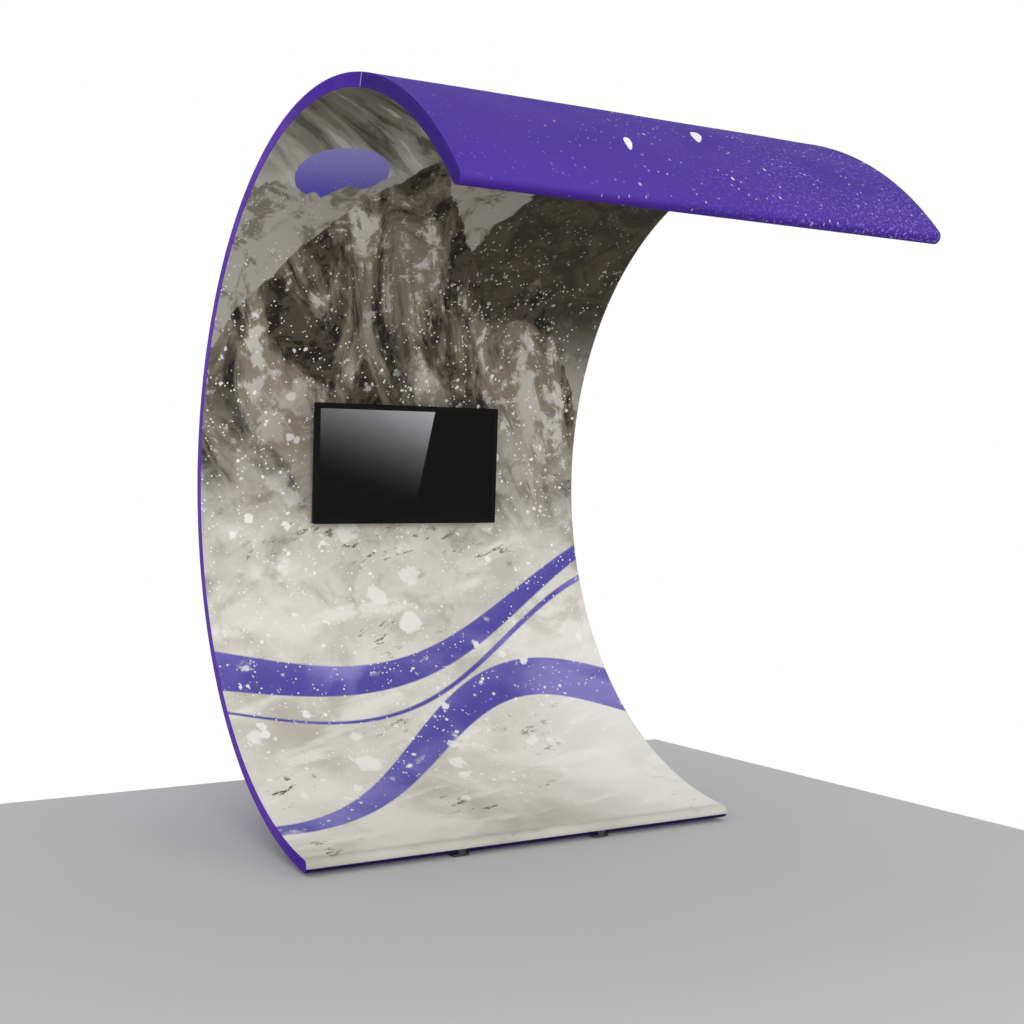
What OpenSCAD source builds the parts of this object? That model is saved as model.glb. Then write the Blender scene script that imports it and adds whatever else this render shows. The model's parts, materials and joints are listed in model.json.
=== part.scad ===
// Curved tension-fabric display backwall with a canopy and a tilting screen.
// X runs along the width, +X to the viewer's right. The viewer stands at -Y. Z is up.
// The origin is on the floor, at the middle of the display's bounding box.

/* [Display] */
// Overall width over the end gussets
display_w = 1524; // [1300:4:1900]
// Radius of the side curve, on the tubes' centre line
curve_r = 1107; // [1060:1:1200]
// Angle of the toe bar round the curve, from level at the back
toe_deg = -84.6; // [-88:0.1:-84]
// Angle of the nose bar round the curve
nose_deg = 140.8; // [130:0.1:150]
// Gap between the floor and the cover's lowest edge
floor_gap = 10; // [9:0.5:16]

/* [Tubes] */
// Outer diameter of the rib tubes and of the toe and nose bars
tube_d = 38; // [36:0.5:42]
// Outer diameter of the four inner cross bars
bar_d = 32; // [28:0.5:34]
// Wall of every tube
tube_wall = 1.6; // [1.2:0.1:2]
// Length of every push-fit spigot
spigot_len = 60; // [50:1:80]
// Wall of every spigot
spigot_wall = 1.6; // [1.4:0.1:2]
// Radial clearance of a spigot in its tube
spigot_fit = 0.05; // [0.03:0.01:0.1]
// Angle of the lowest joint between the rib tubes
joint_1_deg = -22; // [-30:0.1:-10]
// Angle of the middle joint
joint_2_deg = 42.2; // [16:0.1:48]
// Angle of the highest joint, under the gusset's cross seam
joint_3_deg = 106.4; // [102:0.1:120]
// Angle of the low cross bar, which the rear posts carry
low_deg = -50; // [-54:0.5:-46]
// Angle of the cross bar that carries the screen
screen_deg = 5.2; // [2:0.1:8]
// Angle of the upper cross bar
upper_deg = 54; // [50:0.5:70]
// Angle of the crest cross bar
crest_deg = 94; // [86:0.5:100]

/* [Snap buttons] */
// Diameter of a button
button_d = 8; // [6:0.5:9]
// How far a button stands out of its tube
button_out = 2.4; // [1.5:0.1:3]
// Radial clearance of a button in its holes
button_fit = 0.08; // [0.05:0.01:0.1]
// Width of the spring strip
strip_w = 9; // [7:0.5:10]
// Length of the spring strip
strip_len = 26; // [20:1:30]
// Thickness of the spring strip
strip_t = 0.8; // [0.6:0.1:1]

/* [Cover] */
// Thickness of the cover's fabric
fabric_t = 1; // [0.8:0.1:1.5]
// Gap between the tubes and the fabric
fabric_gap = 0.4; // [0.3:0.1:0.6]
// Width of the purple band under the nose
nose_band = 26; // [20:1:60]
// Angle by which the print goes round the toe bar, in degrees
toe_wrap = 105; // [90:1:110]
// Width of each opening in the toe hem
hem_opening = 28; // [26:0.5:40]
// Clearance round each slit that a clamp or a post passes
slit_gap = 3; // [2:0.5:5]

/* [Zipper] */
// Distance along the curve from the toe bar to the zipper's line
zip_from_toe = 139; // [100:1:200]
// Distance from each end of the zipper to the end gusset
zip_end = 60; // [50:1:120]
// Width of the slot in the fabric for the zipper
zip_slot = 9; // [8.4:0.1:12]
// Width of both zipper tapes together
tape_w = 30; // [24:1:40]
// Thickness of the zipper tapes
tape_t = 0.6; // [0.4:0.1:0.8]
// Width of the meshed teeth
teeth_w = 6; // [5:0.1:6.4]
// How far the teeth stand out of the fabric
teeth_out = 1.2; // [0.8:0.1:2]
// Length of the zipper slider
slider_len = 14; // [12:0.5:20]
// Length of the zipper pull, from its pin to its tip
pull_len = 10; // [8:0.5:12]

/* [Feet] */
// Distance of each foot from the middle of the display
foot_x = 254; // [200:1:450]
// Width of a foot plate
foot_w = 60; // [50:1:90]
// Thickness of a foot plate
foot_t = 6; // [5:0.5:6.5]
// Thickness of the rubber pads
pad_t = 2; // [1.5:0.5:2]
// Length of a foot plate behind the toe bar
foot_len = 920; // [800:5:1000]
// Width of a toe saddle
saddle_w = 22; // [18:1:24]
// Length of a toe saddle
saddle_len = 36; // [30:1:44]
// Outer diameter of a rear post
post_d = 30; // [26:1:34]
// Wall of a rear post
post_wall = 2; // [1.6:0.1:3]
// Diameter of the foot bolts
foot_bolt_d = 8; // [6:0.5:8]

/* [Screen mount] */
// Distance of each bar clamp from the middle
clamp_x = 92; // [90:1:98]
// Width of a bar clamp
clamp_w = 40; // [30:1:50]
// Thickness of a clamp cap round the bar
clamp_t = 3; // [2.5:0.1:3]
// Diameter of the clamp bolts
clamp_bolt_d = 5; // [4:0.5:6]
// Distance from the screen bar's centre to the mount plate's back
plate_stand = 29; // [28:0.5:36]
// Width of the mount plate
plate_w = 240; // [240:1:280]
// Height of the mount plate
plate_h = 100; // [90:1:110]
// Thickness of the mount plate and of the tilt parts
plate_t = 3; // [2.5:0.1:4]
// Distance from the mount plate's front to the tilt pin
pin_stand = 12.4; // [12:0.1:16]
// Radial clearance of the tilt parts on the pin
pin_fit = 0.06; // [0.03:0.01:0.1]
// Diameter of the tilt pin
pin_d = 8; // [6:0.5:9]
// Diameter of the tilt knob
knob_d = 22; // [18:0.5:22]
// Height of the tilt knob
knob_h = 14; // [10:0.5:15]
// How far the screen leans forward at rest
lean_deg = 3.54; // [0:0.01:6]

/* [Screen] */
// Width of the screen
screen_w = 743; // [680:1:800]
// Height of the screen
screen_h = 436; // [390:1:460]
// Visible width of the bezel
bezel_w = 20; // [14:0.5:30]
// Depth of the bezel
bezel_t = 12; // [11:0.5:14]
// Depth of the whole screen at its rear bulge
screen_t = 40; // [36:0.5:44]
// Width of the rear bulge
bulge_w = 480; // [440:1:560]
// Height of the rear bulge
bulge_h = 260; // [240:1:280]
// Wall of the rear cover
cover_wall = 2.5; // [2:0.1:3]
// How far the screen's centre hangs below the tilt pin
screen_drop = 5.2; // [0:0.1:12]
// Spacing of the screen's mounting screws
vesa_pitch = 100; // [100:25:100]
// Travel of the power button
power_travel = 1; // [0.6:0.1:1.4]
// Distance from the bezel's right end to the power button
button_in = 71.5; // [60:0.5:100]
// Width of each speaker
speaker_w = 70; // [50:1:80]
// Depth of each speaker
speaker_d = 18; // [14:0.5:20]
// Height of each speaker
speaker_h = 40; // [30:1:50]

/* [Hidden] */
$fn = 128;
slack = 0.3;                                  // gap that keeps neighbours apart
tube_r = tube_d / 2;
bar_r = bar_d / 2;
half_t = tube_r + fabric_gap + fabric_t;      // half of the cover's thickness
centre_y = -curve_r * (1 + cos(nose_deg)) / 2;
centre_z = floor_gap + half_t - curve_r * sin(toe_deg);
skin_in = curve_r - half_t;                   // face of the print, towards the viewer
skin_out = curve_r + half_t;                  // outer face of the cover
inner_half_w = display_w / 2 - fabric_t;      // gussets' inner faces
rib_x = inner_half_w - fabric_gap - tube_r;
joint_degs = [joint_1_deg, joint_2_deg, joint_3_deg];
joint_count = len(joint_degs);
rib_ends = concat([toe_deg], joint_degs, [nose_deg]);
inner_degs = [low_deg, screen_deg, upper_deg, crest_deg];
bar_names = ["toe", "low", "screen", "upper", "crest", "nose"];
bar_degs = concat([toe_deg], inner_degs, [nose_deg]);
bar_radii = [tube_r, bar_r, bar_r, bar_r, bar_r, tube_r];
last_bar = len(bar_names) - 1;
bar_half_l = rib_x - tube_r - 1;              // every bar ends 1 mm short of the rib
stub_end = bar_half_l - spigot_len;
button_x = bar_half_l - spigot_len / 2;
strip_drop = 3;                               // strip lies this far inside the spigot's bore
hole_d = button_d + 2 * button_fit;
zip_deg = toe_deg + arc_deg(zip_from_toe);
zip_half_l = inner_half_w - zip_end;
toe_pos = at(curve_r, toe_deg);
low_pos = at(curve_r, low_deg);
bar_pos = at(curve_r, screen_deg);
plate_y = bar_pos[0] - plate_stand - plate_t; // mount plate's front face
pin_y = plate_y - pin_stand;
ear_r = pin_stand - 3;
vesa_stand = pin_stand - 0.7;                 // tilt head plate's back to the pin
pin_depth = screen_t + plate_t + vesa_stand;  // screen's front to the pin
head_w = vesa_pitch + 20;                     // tilt head's plate, square
ear_x = head_w / 2 + 1;                       // inner faces of the fixed ears
knob_x = ear_x + plate_t + slack;
neck_h = 2 * bar_r + 2;                       // necks that pass the print
ear_t = 4;                                    // clamps' ears
clamp_ear = 12;
clamp_half_h = bar_r + clamp_t + clamp_ear;
clamp_bolt_z = bar_r + clamp_t + clamp_ear / 2;
neck_bolt_z = 9;
nut_h = 6;
glass_t = 3;
lip_t = 2;
wall = 3;                                     // side wall of the bezel
margin_x = 22;                                // backlight's margins inside the screen
margin_z = 20.5;
backlight_w = screen_w - 2 * margin_x;
backlight_h = screen_h - 2 * margin_z;
board_y = 20;                                 // depth of the circuit board
port_x = 40;
port_w = 120;
port_t = 12;
button_slot = [screen_w / 2 - button_in, (lip_t + glass_t + bezel_t) / 2];
button_size = [14, 4];
button_flange_t = 1.5;
switch_w = 40;
switch_z = -screen_h / 2 + wall + button_flange_t + power_travel + 2 * slack;
slider_w = zip_slot - 2 * slack;
pull_pin_z = 5;
pull_pin_d = 1.6;
pull_t = 1.2;
flange_t = 5;
csk_t = foot_t - 2;
foot_top = pad_t + foot_t;
colour_purple = [0.345, 0.267, 0.647];
colour_dark_purple = [0.247, 0.145, 0.541];
colour_print = [0.8, 0.79, 0.75];
colour_tube = [0.76, 0.77, 0.79];
colour_steel = [0.62, 0.63, 0.65];
colour_black = [0.05, 0.05, 0.05];
colour_foot = [0.3, 0.3, 0.31];

rib_names = [for (side = ["left", "right"], i = [0:joint_count]) str("rib_", side, "_", i + 1)];
rib_button_names =
    [for (side = ["left", "right"], i = [0:joint_count - 1]) str("snap_button_", side, "_", i + 1)];

// Point (Y, Z) at a radius and an angle round the curve.
function at(r, a) = [centre_y + r * cos(a), centre_z + r * sin(a)];
// Angle that a length takes along the tubes' centre line.
function arc_deg(length) = length / curve_r * 180 / PI;
// Half the width that a strip spans in a bore, as the depth at which it fits.
function strip_depth(bore) = sqrt(bore * bore - strip_w * strip_w / 4) - slack;
// +1 for a bar whose button points up the curve, -1 for the nose bar's.
function button_turn(i) = i == last_bar ? -1 : 1;
function spigot_r(outer_r) = outer_r - tube_wall - spigot_fit;
function spigot_bore_r(outer_r) = spigot_r(outer_r) - spigot_wall;
function button_travel() = button_out + tube_wall + slack;

// Extrudes a side outline, drawn as (Y, Z), from x0 to x1.
module along_x(x0, x1) {
    translate([x0, 0, 0])
        rotate([90, 0, 90])
            linear_extrude(height = x1 - x0)
                children();
}

// Wedge of the side view between two angles.
module wedge_2d(a0, a1) {
    steps = ceil((a1 - a0) / 30);
    reach = 2 * curve_r;
    rim = [for (i = [0:steps]) let (a = a0 + (a1 - a0) * i / steps) [cos(a), sin(a)] * reach];
    polygon(concat([[0, 0]], rim));
}

// Band of the side view between two radii and two angles.
module band_2d(r0, r1, a0, a1) {
    translate([centre_y, centre_z])
        intersection() {
            difference() {
                circle(r = r1, $fn = 256);
                circle(r = r0, $fn = 256);
            }
            wedge_2d(a0, a1);
        }
}

// Frame on the curve: x along the width, y towards the toe, z outwards.
module on_curve(a, x = 0, r = curve_r) {
    translate([x, centre_y, centre_z])
        rotate([a - 90, 0, 0])
            translate([0, 0, r])
                children();
}

// Solid round bar bent along the curve.
module curved_rod(r, a0, a1) {
    translate([0, centre_y, centre_z])
        rotate([90, 0, 90])
            rotate([0, 0, a0])
                rotate_extrude(angle = a1 - a0, $fn = 256)
                    translate([curve_r, 0])
                        circle(r = r, $fn = 48);
}

module x_rod(r, length) {
    rotate([0, 90, 0])
        cylinder(r = r, h = length, center = true);
}

// Turns a button's frame, with the pin along z, to point into the display from a rib.
module rib_button_frame(side, i) {
    on_curve(joint_degs[i] + arc_deg(spigot_len / 2), side * rib_x)
        rotate([0, -90 * side, 0])
            rotate([0, 0, 90])
                children();
}

// The same for a button at the left end of a bar.
module bar_button_frame(i) {
    on_curve(bar_degs[i], -button_x)
        rotate([90 * button_turn(i), 0, 0])
            children();
}

// One curved tube of a side rib, with a swaged upper end and stubs for the cross bars.
module rib(side, i) {
    last = i == joint_count;
    a0 = rib_ends[i] + (i == 0 ? arc_deg(tube_r) : 0);
    a1 = rib_ends[i + 1] - (last ? arc_deg(tube_r) : 0);
    neck = arc_deg(4);
    a_tip = last ? a1 : a1 + arc_deg(spigot_len);
    stubs = [for (a = inner_degs) if (a > a0 && a < a1) a];
    color(colour_tube)
        translate([side * rib_x, 0, 0])
            difference() {
                union() {
                    curved_rod(tube_r, a0, a1);
                    if (!last)
                        curved_rod(spigot_r(tube_r), a1 - neck, a_tip);
                    for (a = stubs)
                        on_curve(a)
                            translate([-side * (rib_x - stub_end) / 2, 0, 0])
                                x_rod(spigot_r(bar_r), rib_x - stub_end);
                }
                curved_rod(tube_r - tube_wall, a0 - 1, last ? a1 + 1 : a1 - neck);
                if (!last)
                    curved_rod(spigot_bore_r(tube_r), a1 - 2 * neck, a_tip + 1);
                for (a = stubs)
                    on_curve(a)
                        translate([-side * (tube_r + 4 + spigot_len), 0, 0])
                            x_rod(spigot_bore_r(bar_r), 2 * spigot_len);
                translate([-side * rib_x, 0, 0])
                    rib_holes(side, i);
            }
}

// Holes for the snap buttons at both ends of a rib tube, and in the left rib's stubs.
module rib_holes(side, i) {
    for (j = [i - 1, i])
        if (j >= 0 && j < joint_count)
            rib_button_frame(side, j)
                cylinder(d = hole_d, h = tube_d);
    if (side < 0)
        for (b = [1:len(inner_degs)])
            bar_button_frame(b)
                cylinder(d = hole_d, h = tube_d);
}

// Straight cross bar: a tube over the spigots at both ends.
module cross_bar(i) {
    outer_r = bar_radii[i];
    color(colour_tube)
        difference() {
            on_curve(bar_degs[i])
                x_rod(outer_r, 2 * bar_half_l);
            on_curve(bar_degs[i])
                x_rod(outer_r - tube_wall, display_w);
            bar_button_frame(i)
                cylinder(d = hole_d, h = tube_d);
            if (i == 0)
                foot_bolt_holes(toe_pos);
            if (i == 1)
                foot_bolt_holes(low_pos);
        }
}

module foot_bolt_holes(pos) {
    for (x = [-foot_x, foot_x])
        translate([x, pos[0], 0])
            cylinder(d = foot_bolt_d + 0.4, h = pos[1]);
}

// Cast knuckles in the four corners, with a spigot for the rib and one for the bar.
module corner_knuckles() {
    color(colour_steel)
        for (side = [-1, 1], end = [0, 1])
            knuckle(side, end);
}

module knuckle(side, end) {
    a = end == 0 ? toe_deg : nose_deg;
    reach = arc_deg(tube_r + spigot_len) * (end == 0 ? 1 : -1);
    length = tube_r + 1 + spigot_len;
    difference() {
        union() {
            on_curve(a, side * rib_x)
                rotate([0, 90, 0])
                    sphere(r = tube_r);
            translate([side * rib_x, 0, 0])
                curved_rod(spigot_r(tube_r), min(a, a + reach), max(a, a + reach));
            on_curve(a, side * (rib_x - length / 2))
                x_rod(spigot_r(tube_r), length);
        }
        on_curve(a, side * (rib_x - length))
            x_rod(spigot_bore_r(tube_r), 2 * spigot_len);
        if (side < 0)
            bar_button_frame(end == 0 ? 0 : last_bar)
                cylinder(d = hole_d, h = tube_d);
    }
}

// A snap button on its spring strip, in a spigot of the given tube. The pin is along z.
module snap_button(outer_r) {
    seat = spigot_bore_r(outer_r) - strip_drop;
    top = outer_r + button_out;
    chamfer = 1;
    color(colour_steel) {
        translate([0, 0, seat])
            cylinder(d = button_d, h = top - chamfer - seat);
        translate([0, 0, top - chamfer])
            cylinder(d1 = button_d, d2 = button_d - 2 * chamfer, h = chamfer);
        translate([-strip_len / 2, -strip_w / 2, seat - strip_t])
            cube([strip_len, strip_w, strip_t]);
    }
}

// The leg of the spring that bears on the far side of the bore.
module spring_leg(outer_r) {
    bore = spigot_bore_r(outer_r);
    rise = bore - strip_drop - strip_t - button_travel() - slack;
    low = -strip_depth(bore);
    translate([-strip_len / 2, -strip_w / 2, low])
        cube([strip_len + slack + strip_t, strip_w, strip_t]);
    translate([strip_len / 2 + slack, -strip_w / 2, low])
        cube([strip_t, strip_w, rise - low]);
}

module button_spring_legs() {
    color(colour_steel) {
        for (side = [-1, 1], i = [0:joint_count - 1])
            rib_button_frame(side, i)
                spring_leg(tube_r);
        for (i = [0:last_bar])
            bar_button_frame(i)
                spring_leg(bar_radii[i]);
    }
}

// Inner panel, which carries the print.
module print_panel() {
    color(colour_print)
        difference() {
            along_x(-inner_half_w, inner_half_w)
                print_outline_2d();
            for (x = [-clamp_x, clamp_x])
                clamp_slit(x);
        }
}

// Side outline of the print: up the curve, and round the front of the toe bar.
module print_outline_2d() {
    difference() {
        union() {
            band_2d(skin_in, skin_in + fabric_t, toe_deg, nose_deg - arc_deg(nose_band));
            translate(toe_pos)
                circle(r = half_t);
        }
        band_2d(skin_in + fabric_t, skin_out + 1, toe_deg, toe_deg + 5);
        translate(toe_pos) {
            circle(r = half_t - fabric_t);
            past_toe_2d(toe_wrap);
        }
    }
}

// Half plane round the toe bar's centre, which starts at an angle past the print's tangent.
module past_toe_2d(turn) {
    rotate(toe_deg + turn)
        translate([-tube_d, -tube_d])
            square([2 * tube_d, tube_d]);
}

module clamp_slit(x) {
    w = clamp_w + 2 * slit_gap;
    h = neck_h + 2 * slit_gap;
    translate([x - w / 2, bar_pos[0] - 2 * half_t, bar_pos[1] - h / 2])
        cube([w, 2 * half_t - bar_r, h]);
}

// Outer panel: the back and top of the cover, wrapped round the nose to the print.
module outer_panel() {
    color(colour_purple)
        difference() {
            along_x(-inner_half_w, inner_half_w)
                difference() {
                    outer_outline_2d(0, toe_deg);
                    outer_outline_2d(fabric_t, toe_deg - 1);
                    band_2d(skin_in - 1, skin_out - fabric_t, toe_deg - 1,
                        nose_deg - arc_deg(nose_band));
                }
            along_x(-zip_half_l, zip_half_l)
                band_2d(skin_out - 2 * fabric_t, skin_out + fabric_t,
                    zip_deg - arc_deg(zip_slot / 2), zip_deg + arc_deg(zip_slot / 2));
            for (x = [-foot_x, foot_x]) {
                translate([x - hem_opening / 2, toe_pos[0] - tube_r, 0])
                    cube([hem_opening, tube_r + saddle_len / 2 + slit_gap, toe_pos[1]]);
                translate([x, low_pos[0], 0])
                    cylinder(d = post_d + 2 * slit_gap, h = low_pos[1]);
            }
        }
}

// Side outline of the cover from an angle to the nose, drawn in by a distance.
module outer_outline_2d(inset, a0) {
    band_2d(skin_in + inset, skin_out - inset, a0, nose_deg);
    translate(at(curve_r, nose_deg))
        circle(r = half_t - inset);
}

// Piece of ring between the print's lower edge and the outer panel.
module toe_ring_2d() {
    translate(toe_pos)
        intersection() {
            difference() {
                circle(r = half_t);
                circle(r = half_t - fabric_t);
            }
            past_toe_2d(0);
            past_toe_2d(toe_wrap);
        }
}

// Strip that closes each end of the cover.
module end_gusset(side) {
    x0 = side < 0 ? -display_w / 2 : inner_half_w;
    along_x(x0, x0 + fabric_t) {
        band_2d(skin_in, skin_out, toe_deg, nose_deg);
        for (a = [toe_deg, nose_deg])
            translate(at(curve_r, a))
                circle(r = half_t);
    }
}

module gusset_left() {
    color(colour_dark_purple)
        end_gusset(-1);
}

module gusset_right() {
    color(colour_dark_purple)
        end_gusset(1);
}

// Hem under the toe bar, open where the toe saddles pass.
module toe_hem() {
    edges = [
        [-inner_half_w, -foot_x - hem_opening / 2],
        [-foot_x + hem_opening / 2, foot_x - hem_opening / 2],
        [foot_x + hem_opening / 2, inner_half_w]
    ];
    color(colour_dark_purple)
        for (e = edges)
            along_x(e[0], e[1])
                toe_ring_2d();
}

// Two tapes behind the slot in the outer panel.
module zipper_tapes() {
    outer = skin_out - fabric_t;
    half = arc_deg(tape_w / 2);
    split = arc_deg(0.3);
    color(colour_dark_purple)
        for (edges = [[-half, -split], [split, half]])
            along_x(-zip_half_l - 8, zip_half_l + 8)
                band_2d(outer - tape_t, outer, zip_deg + edges[0], zip_deg + edges[1]);
}

module zipper_teeth() {
    color(colour_black)
        along_x(-zip_half_l + 1, zip_half_l - 1)
            band_2d(skin_out - fabric_t, skin_out + teeth_out,
                zip_deg - arc_deg(teeth_w / 2), zip_deg + arc_deg(teeth_w / 2));
}

// Frame at the slider: z out of the fabric from the top of the teeth.
module slider_frame() {
    on_curve(zip_deg, zip_half_l - 1 - slider_len / 2, skin_out + teeth_out)
        children();
}

// Slider: a plate over the teeth, a cheek on each side of them and two ears with a pin.
module zipper_slider() {
    cheek_t = slider_w / 2 - teeth_w / 2 - slack;
    ear_mid = 3.4;
    color(colour_black)
        slider_frame() {
            translate([-slider_len / 2, -slider_w / 2, slack])
                cube([slider_len, slider_w, 1.6]);
            for (y = [-slider_w / 2, slider_w / 2 - cheek_t])
                translate([-slider_len / 2, y, -teeth_out - fabric_t + slack])
                    cube([slider_len, cheek_t, teeth_out + fabric_t + 1]);
            for (y = [-ear_mid, ear_mid])
                translate([0, y, slack + 1])
                    slider_ear();
            translate([0, 0, pull_pin_z])
                rotate([90, 0, 0])
                    cylinder(d = pull_pin_d, h = 2 * ear_mid, center = true, $fn = 32);
        }
}

module slider_ear() {
    rotate([90, 0, 0])
        linear_extrude(height = 1.2, center = true) {
            translate([-1.8, 0])
                square([3.6, pull_pin_z - slack - 1]);
            translate([0, pull_pin_z - slack - 1])
                circle(d = 3.6, $fn = 32);
        }
}

module zipper_pull() {
    color(colour_black)
        slider_frame()
            translate([0, 0, pull_pin_z])
                rotate([90, 0, 0])
                    linear_extrude(height = 4.4, center = true)
                        difference() {
                            union() {
                                circle(d = 3.4, $fn = 32);
                                translate([-pull_t / 2, 0])
                                    square([pull_t, pull_len]);
                            }
                            circle(d = pull_pin_d + 0.14, $fn = 32);
                        }
}

// Steel plate under each foot, with countersunk holes for the two bolts.
module foot(side) {
    y0 = toe_pos[0] - saddle_len / 2;
    corner = 12;
    color(colour_foot)
        difference() {
            translate([side * foot_x, 0, pad_t])
                linear_extrude(height = foot_t)
                    round_plate_2d(y0, y0 + foot_len, foot_w / 2, corner);
            for (p = [toe_pos, low_pos])
                translate([side * foot_x, p[0], 0])
                    foot_bolt(foot_top + 1, 0.2);
        }
}

// Plate outline with round corners.
module round_plate_2d(y0, y1, half_w, corner) {
    translate([-half_w + corner, y0])
        square([2 * (half_w - corner), y1 - y0]);
    translate([-half_w, y0 + corner])
        square([2 * half_w, y1 - y0 - 2 * corner]);
    for (x = [-half_w + corner, half_w - corner], y = [y0 + corner, y1 - corner])
        translate([x, y])
            circle(r = corner);
}

// Countersunk bolt standing on the plate's underside, grown by a clearance.
module foot_bolt(top, grow = 0) {
    translate([0, 0, pad_t])
        cylinder(r1 = foot_bolt_d + grow, r2 = foot_bolt_d / 2 + grow, h = csk_t);
    translate([0, 0, pad_t])
        cylinder(r = foot_bolt_d / 2 + grow, h = top - pad_t);
}

module foot_left() {
    foot(-1);
}

module foot_right() {
    foot(1);
}

// Rubber pads at the front and rear end of each foot plate.
module foot_pads() {
    pad_l = 70;
    inset = 6;
    front = toe_pos[0] - saddle_len / 2;
    color(colour_black)
        for (side = [-1, 1], y = [front + saddle_len + inset, front + foot_len - pad_l - inset])
            translate([side * foot_x, 0, 0])
                linear_extrude(height = pad_t)
                    round_plate_2d(y, y + pad_l, foot_w / 2 - inset, 6);
}

// Blocks that seat the toe bar on the foot plates.
module toe_saddles() {
    color(colour_foot)
        for (x = [-foot_x, foot_x])
            difference() {
                translate([x - saddle_w / 2, toe_pos[0] - saddle_len / 2, foot_top])
                    cube([saddle_w, saddle_len, toe_pos[1] - foot_top - tube_r / 2]);
                translate([x, toe_pos[0], toe_pos[1]])
                    x_rod(tube_r, 2 * saddle_w);
                translate([x, toe_pos[0], 0])
                    foot_bolt(toe_pos[1], 0.2);
            }
}

// Posts from the foot plates to the low cross bar.
module rear_posts() {
    flange_d = foot_w - 4;
    color(colour_foot)
        for (x = [-foot_x, foot_x])
            difference() {
                translate([x, low_pos[0], foot_top]) {
                    cylinder(d = post_d, h = low_pos[1] - foot_top - bar_r / 2);
                    cylinder(d = flange_d, h = flange_t);
                }
                translate([x, low_pos[0], foot_top + flange_t])
                    cylinder(d = post_d - 2 * post_wall, h = low_pos[1]);
                translate([x, low_pos[0], low_pos[1]])
                    x_rod(bar_r, 2 * post_d);
                translate([x, low_pos[0], 0])
                    foot_bolt(low_pos[1], 0.2);
            }
}

// Height of the flat top of a nut inside a bar.
function nut_top(pos, outer_r) = pos[1] - outer_r + tube_wall + nut_h;

// Short bolts into the toe bar and tie rods through the rear posts into the low bar.
module foot_bolts() {
    color(colour_steel)
        for (x = [-foot_x, foot_x]) {
            translate([x, toe_pos[0], 0])
                foot_bolt(nut_top(toe_pos, tube_r) + 1);
            translate([x, low_pos[0], 0])
                foot_bolt(nut_top(low_pos, bar_r) + 1);
        }
}

// Nuts inside the toe bar and the low bar, round on the underside to sit in the tube.
module foot_nuts() {
    color(colour_steel)
        for (x = [-foot_x, foot_x]) {
            foot_nut(x, toe_pos, tube_r);
            foot_nut(x, low_pos, bar_r);
        }
}

module foot_nut(x, pos, outer_r) {
    size = 16;
    difference() {
        intersection() {
            translate([x, pos[0], pos[1]])
                x_rod(outer_r - tube_wall, size);
            translate([x - size / 2, pos[0] - size / 2, 0])
                cube([size, size, nut_top(pos, outer_r)]);
        }
        translate([x, pos[0], 0])
            cylinder(d = foot_bolt_d, h = pos[1] + outer_r);
    }
}

// Side outline of half a clamp, with the bar's centre as origin; dir -1 is the front half.
module clamp_half_2d(dir) {
    difference() {
        union() {
            intersection() {
                circle(r = bar_r + clamp_t);
                translate([dir > 0 ? 0 : -tube_d, -tube_d])
                    square([tube_d, 2 * tube_d]);
            }
            translate([dir > 0 ? 0 : -ear_t, -clamp_half_h])
                square([ear_t, 2 * clamp_half_h]);
        }
        circle(r = bar_r);
    }
}

module at_clamps() {
    for (x = [-clamp_x, clamp_x])
        translate([x, bar_pos[0], bar_pos[1]])
            children();
}

// Holes for the bolts through both halves, and into the neck from the mount plate.
module clamp_bolt_holes(d) {
    for (s = [-1, 1]) {
        translate([0, 0, s * clamp_bolt_z])
            rotate([90, 0, 0])
                cylinder(d = d, h = 2 * clamp_half_h, center = true);
        translate([0, -bar_r - 2, s * neck_bolt_z])
            rotate([90, 0, 0])
                cylinder(d = d, h = plate_stand);
    }
}

// Front halves of the bar clamps, whose necks pass the print to the mount plate.
module bar_clamps() {
    color(colour_black)
        at_clamps()
            difference() {
                union() {
                    along_x(-clamp_w / 2, clamp_w / 2)
                        clamp_half_2d(-1);
                    translate([-clamp_w / 2, -plate_stand, -neck_h / 2])
                        cube([clamp_w, plate_stand - bar_r / 2, neck_h]);
                }
                x_rod(bar_r, 2 * clamp_w);
                clamp_bolt_holes(clamp_bolt_d);
            }
}

module clamp_caps() {
    color(colour_black)
        at_clamps()
            difference() {
                along_x(-clamp_w / 2, clamp_w / 2)
                    clamp_half_2d(1);
                clamp_bolt_holes(clamp_bolt_d + 0.4);
            }
}

// Bolts with nuts through the clamps' ears, and screws from the plate into the necks.
module mount_bolts() {
    head_t = 3.5;
    color(colour_steel)
        at_clamps()
            for (s = [-1, 1]) {
                translate([0, ear_t + head_t, s * clamp_bolt_z])
                    rotate([90, 0, 0])
                        bolt(clamp_bolt_d, head_t, 2 * ear_t + head_t + 1);
                translate([0, -ear_t, s * clamp_bolt_z])
                    rotate([90, 0, 0])
                        difference() {
                            cylinder(d = 1.9 * clamp_bolt_d, h = head_t, $fn = 6);
                            cylinder(d = clamp_bolt_d, h = 3 * head_t, center = true);
                        }
                translate([0, -plate_stand - plate_t - head_t, s * neck_bolt_z])
                    rotate([-90, 0, 0])
                        bolt(clamp_bolt_d, head_t, plate_t + 10);
            }
}

// Round-head bolt with its head from z = 0 and its shank above.
module bolt(d, head_t, length) {
    cylinder(d = 1.7 * d, h = head_t);
    cylinder(d = d, h = head_t + length);
}

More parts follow.
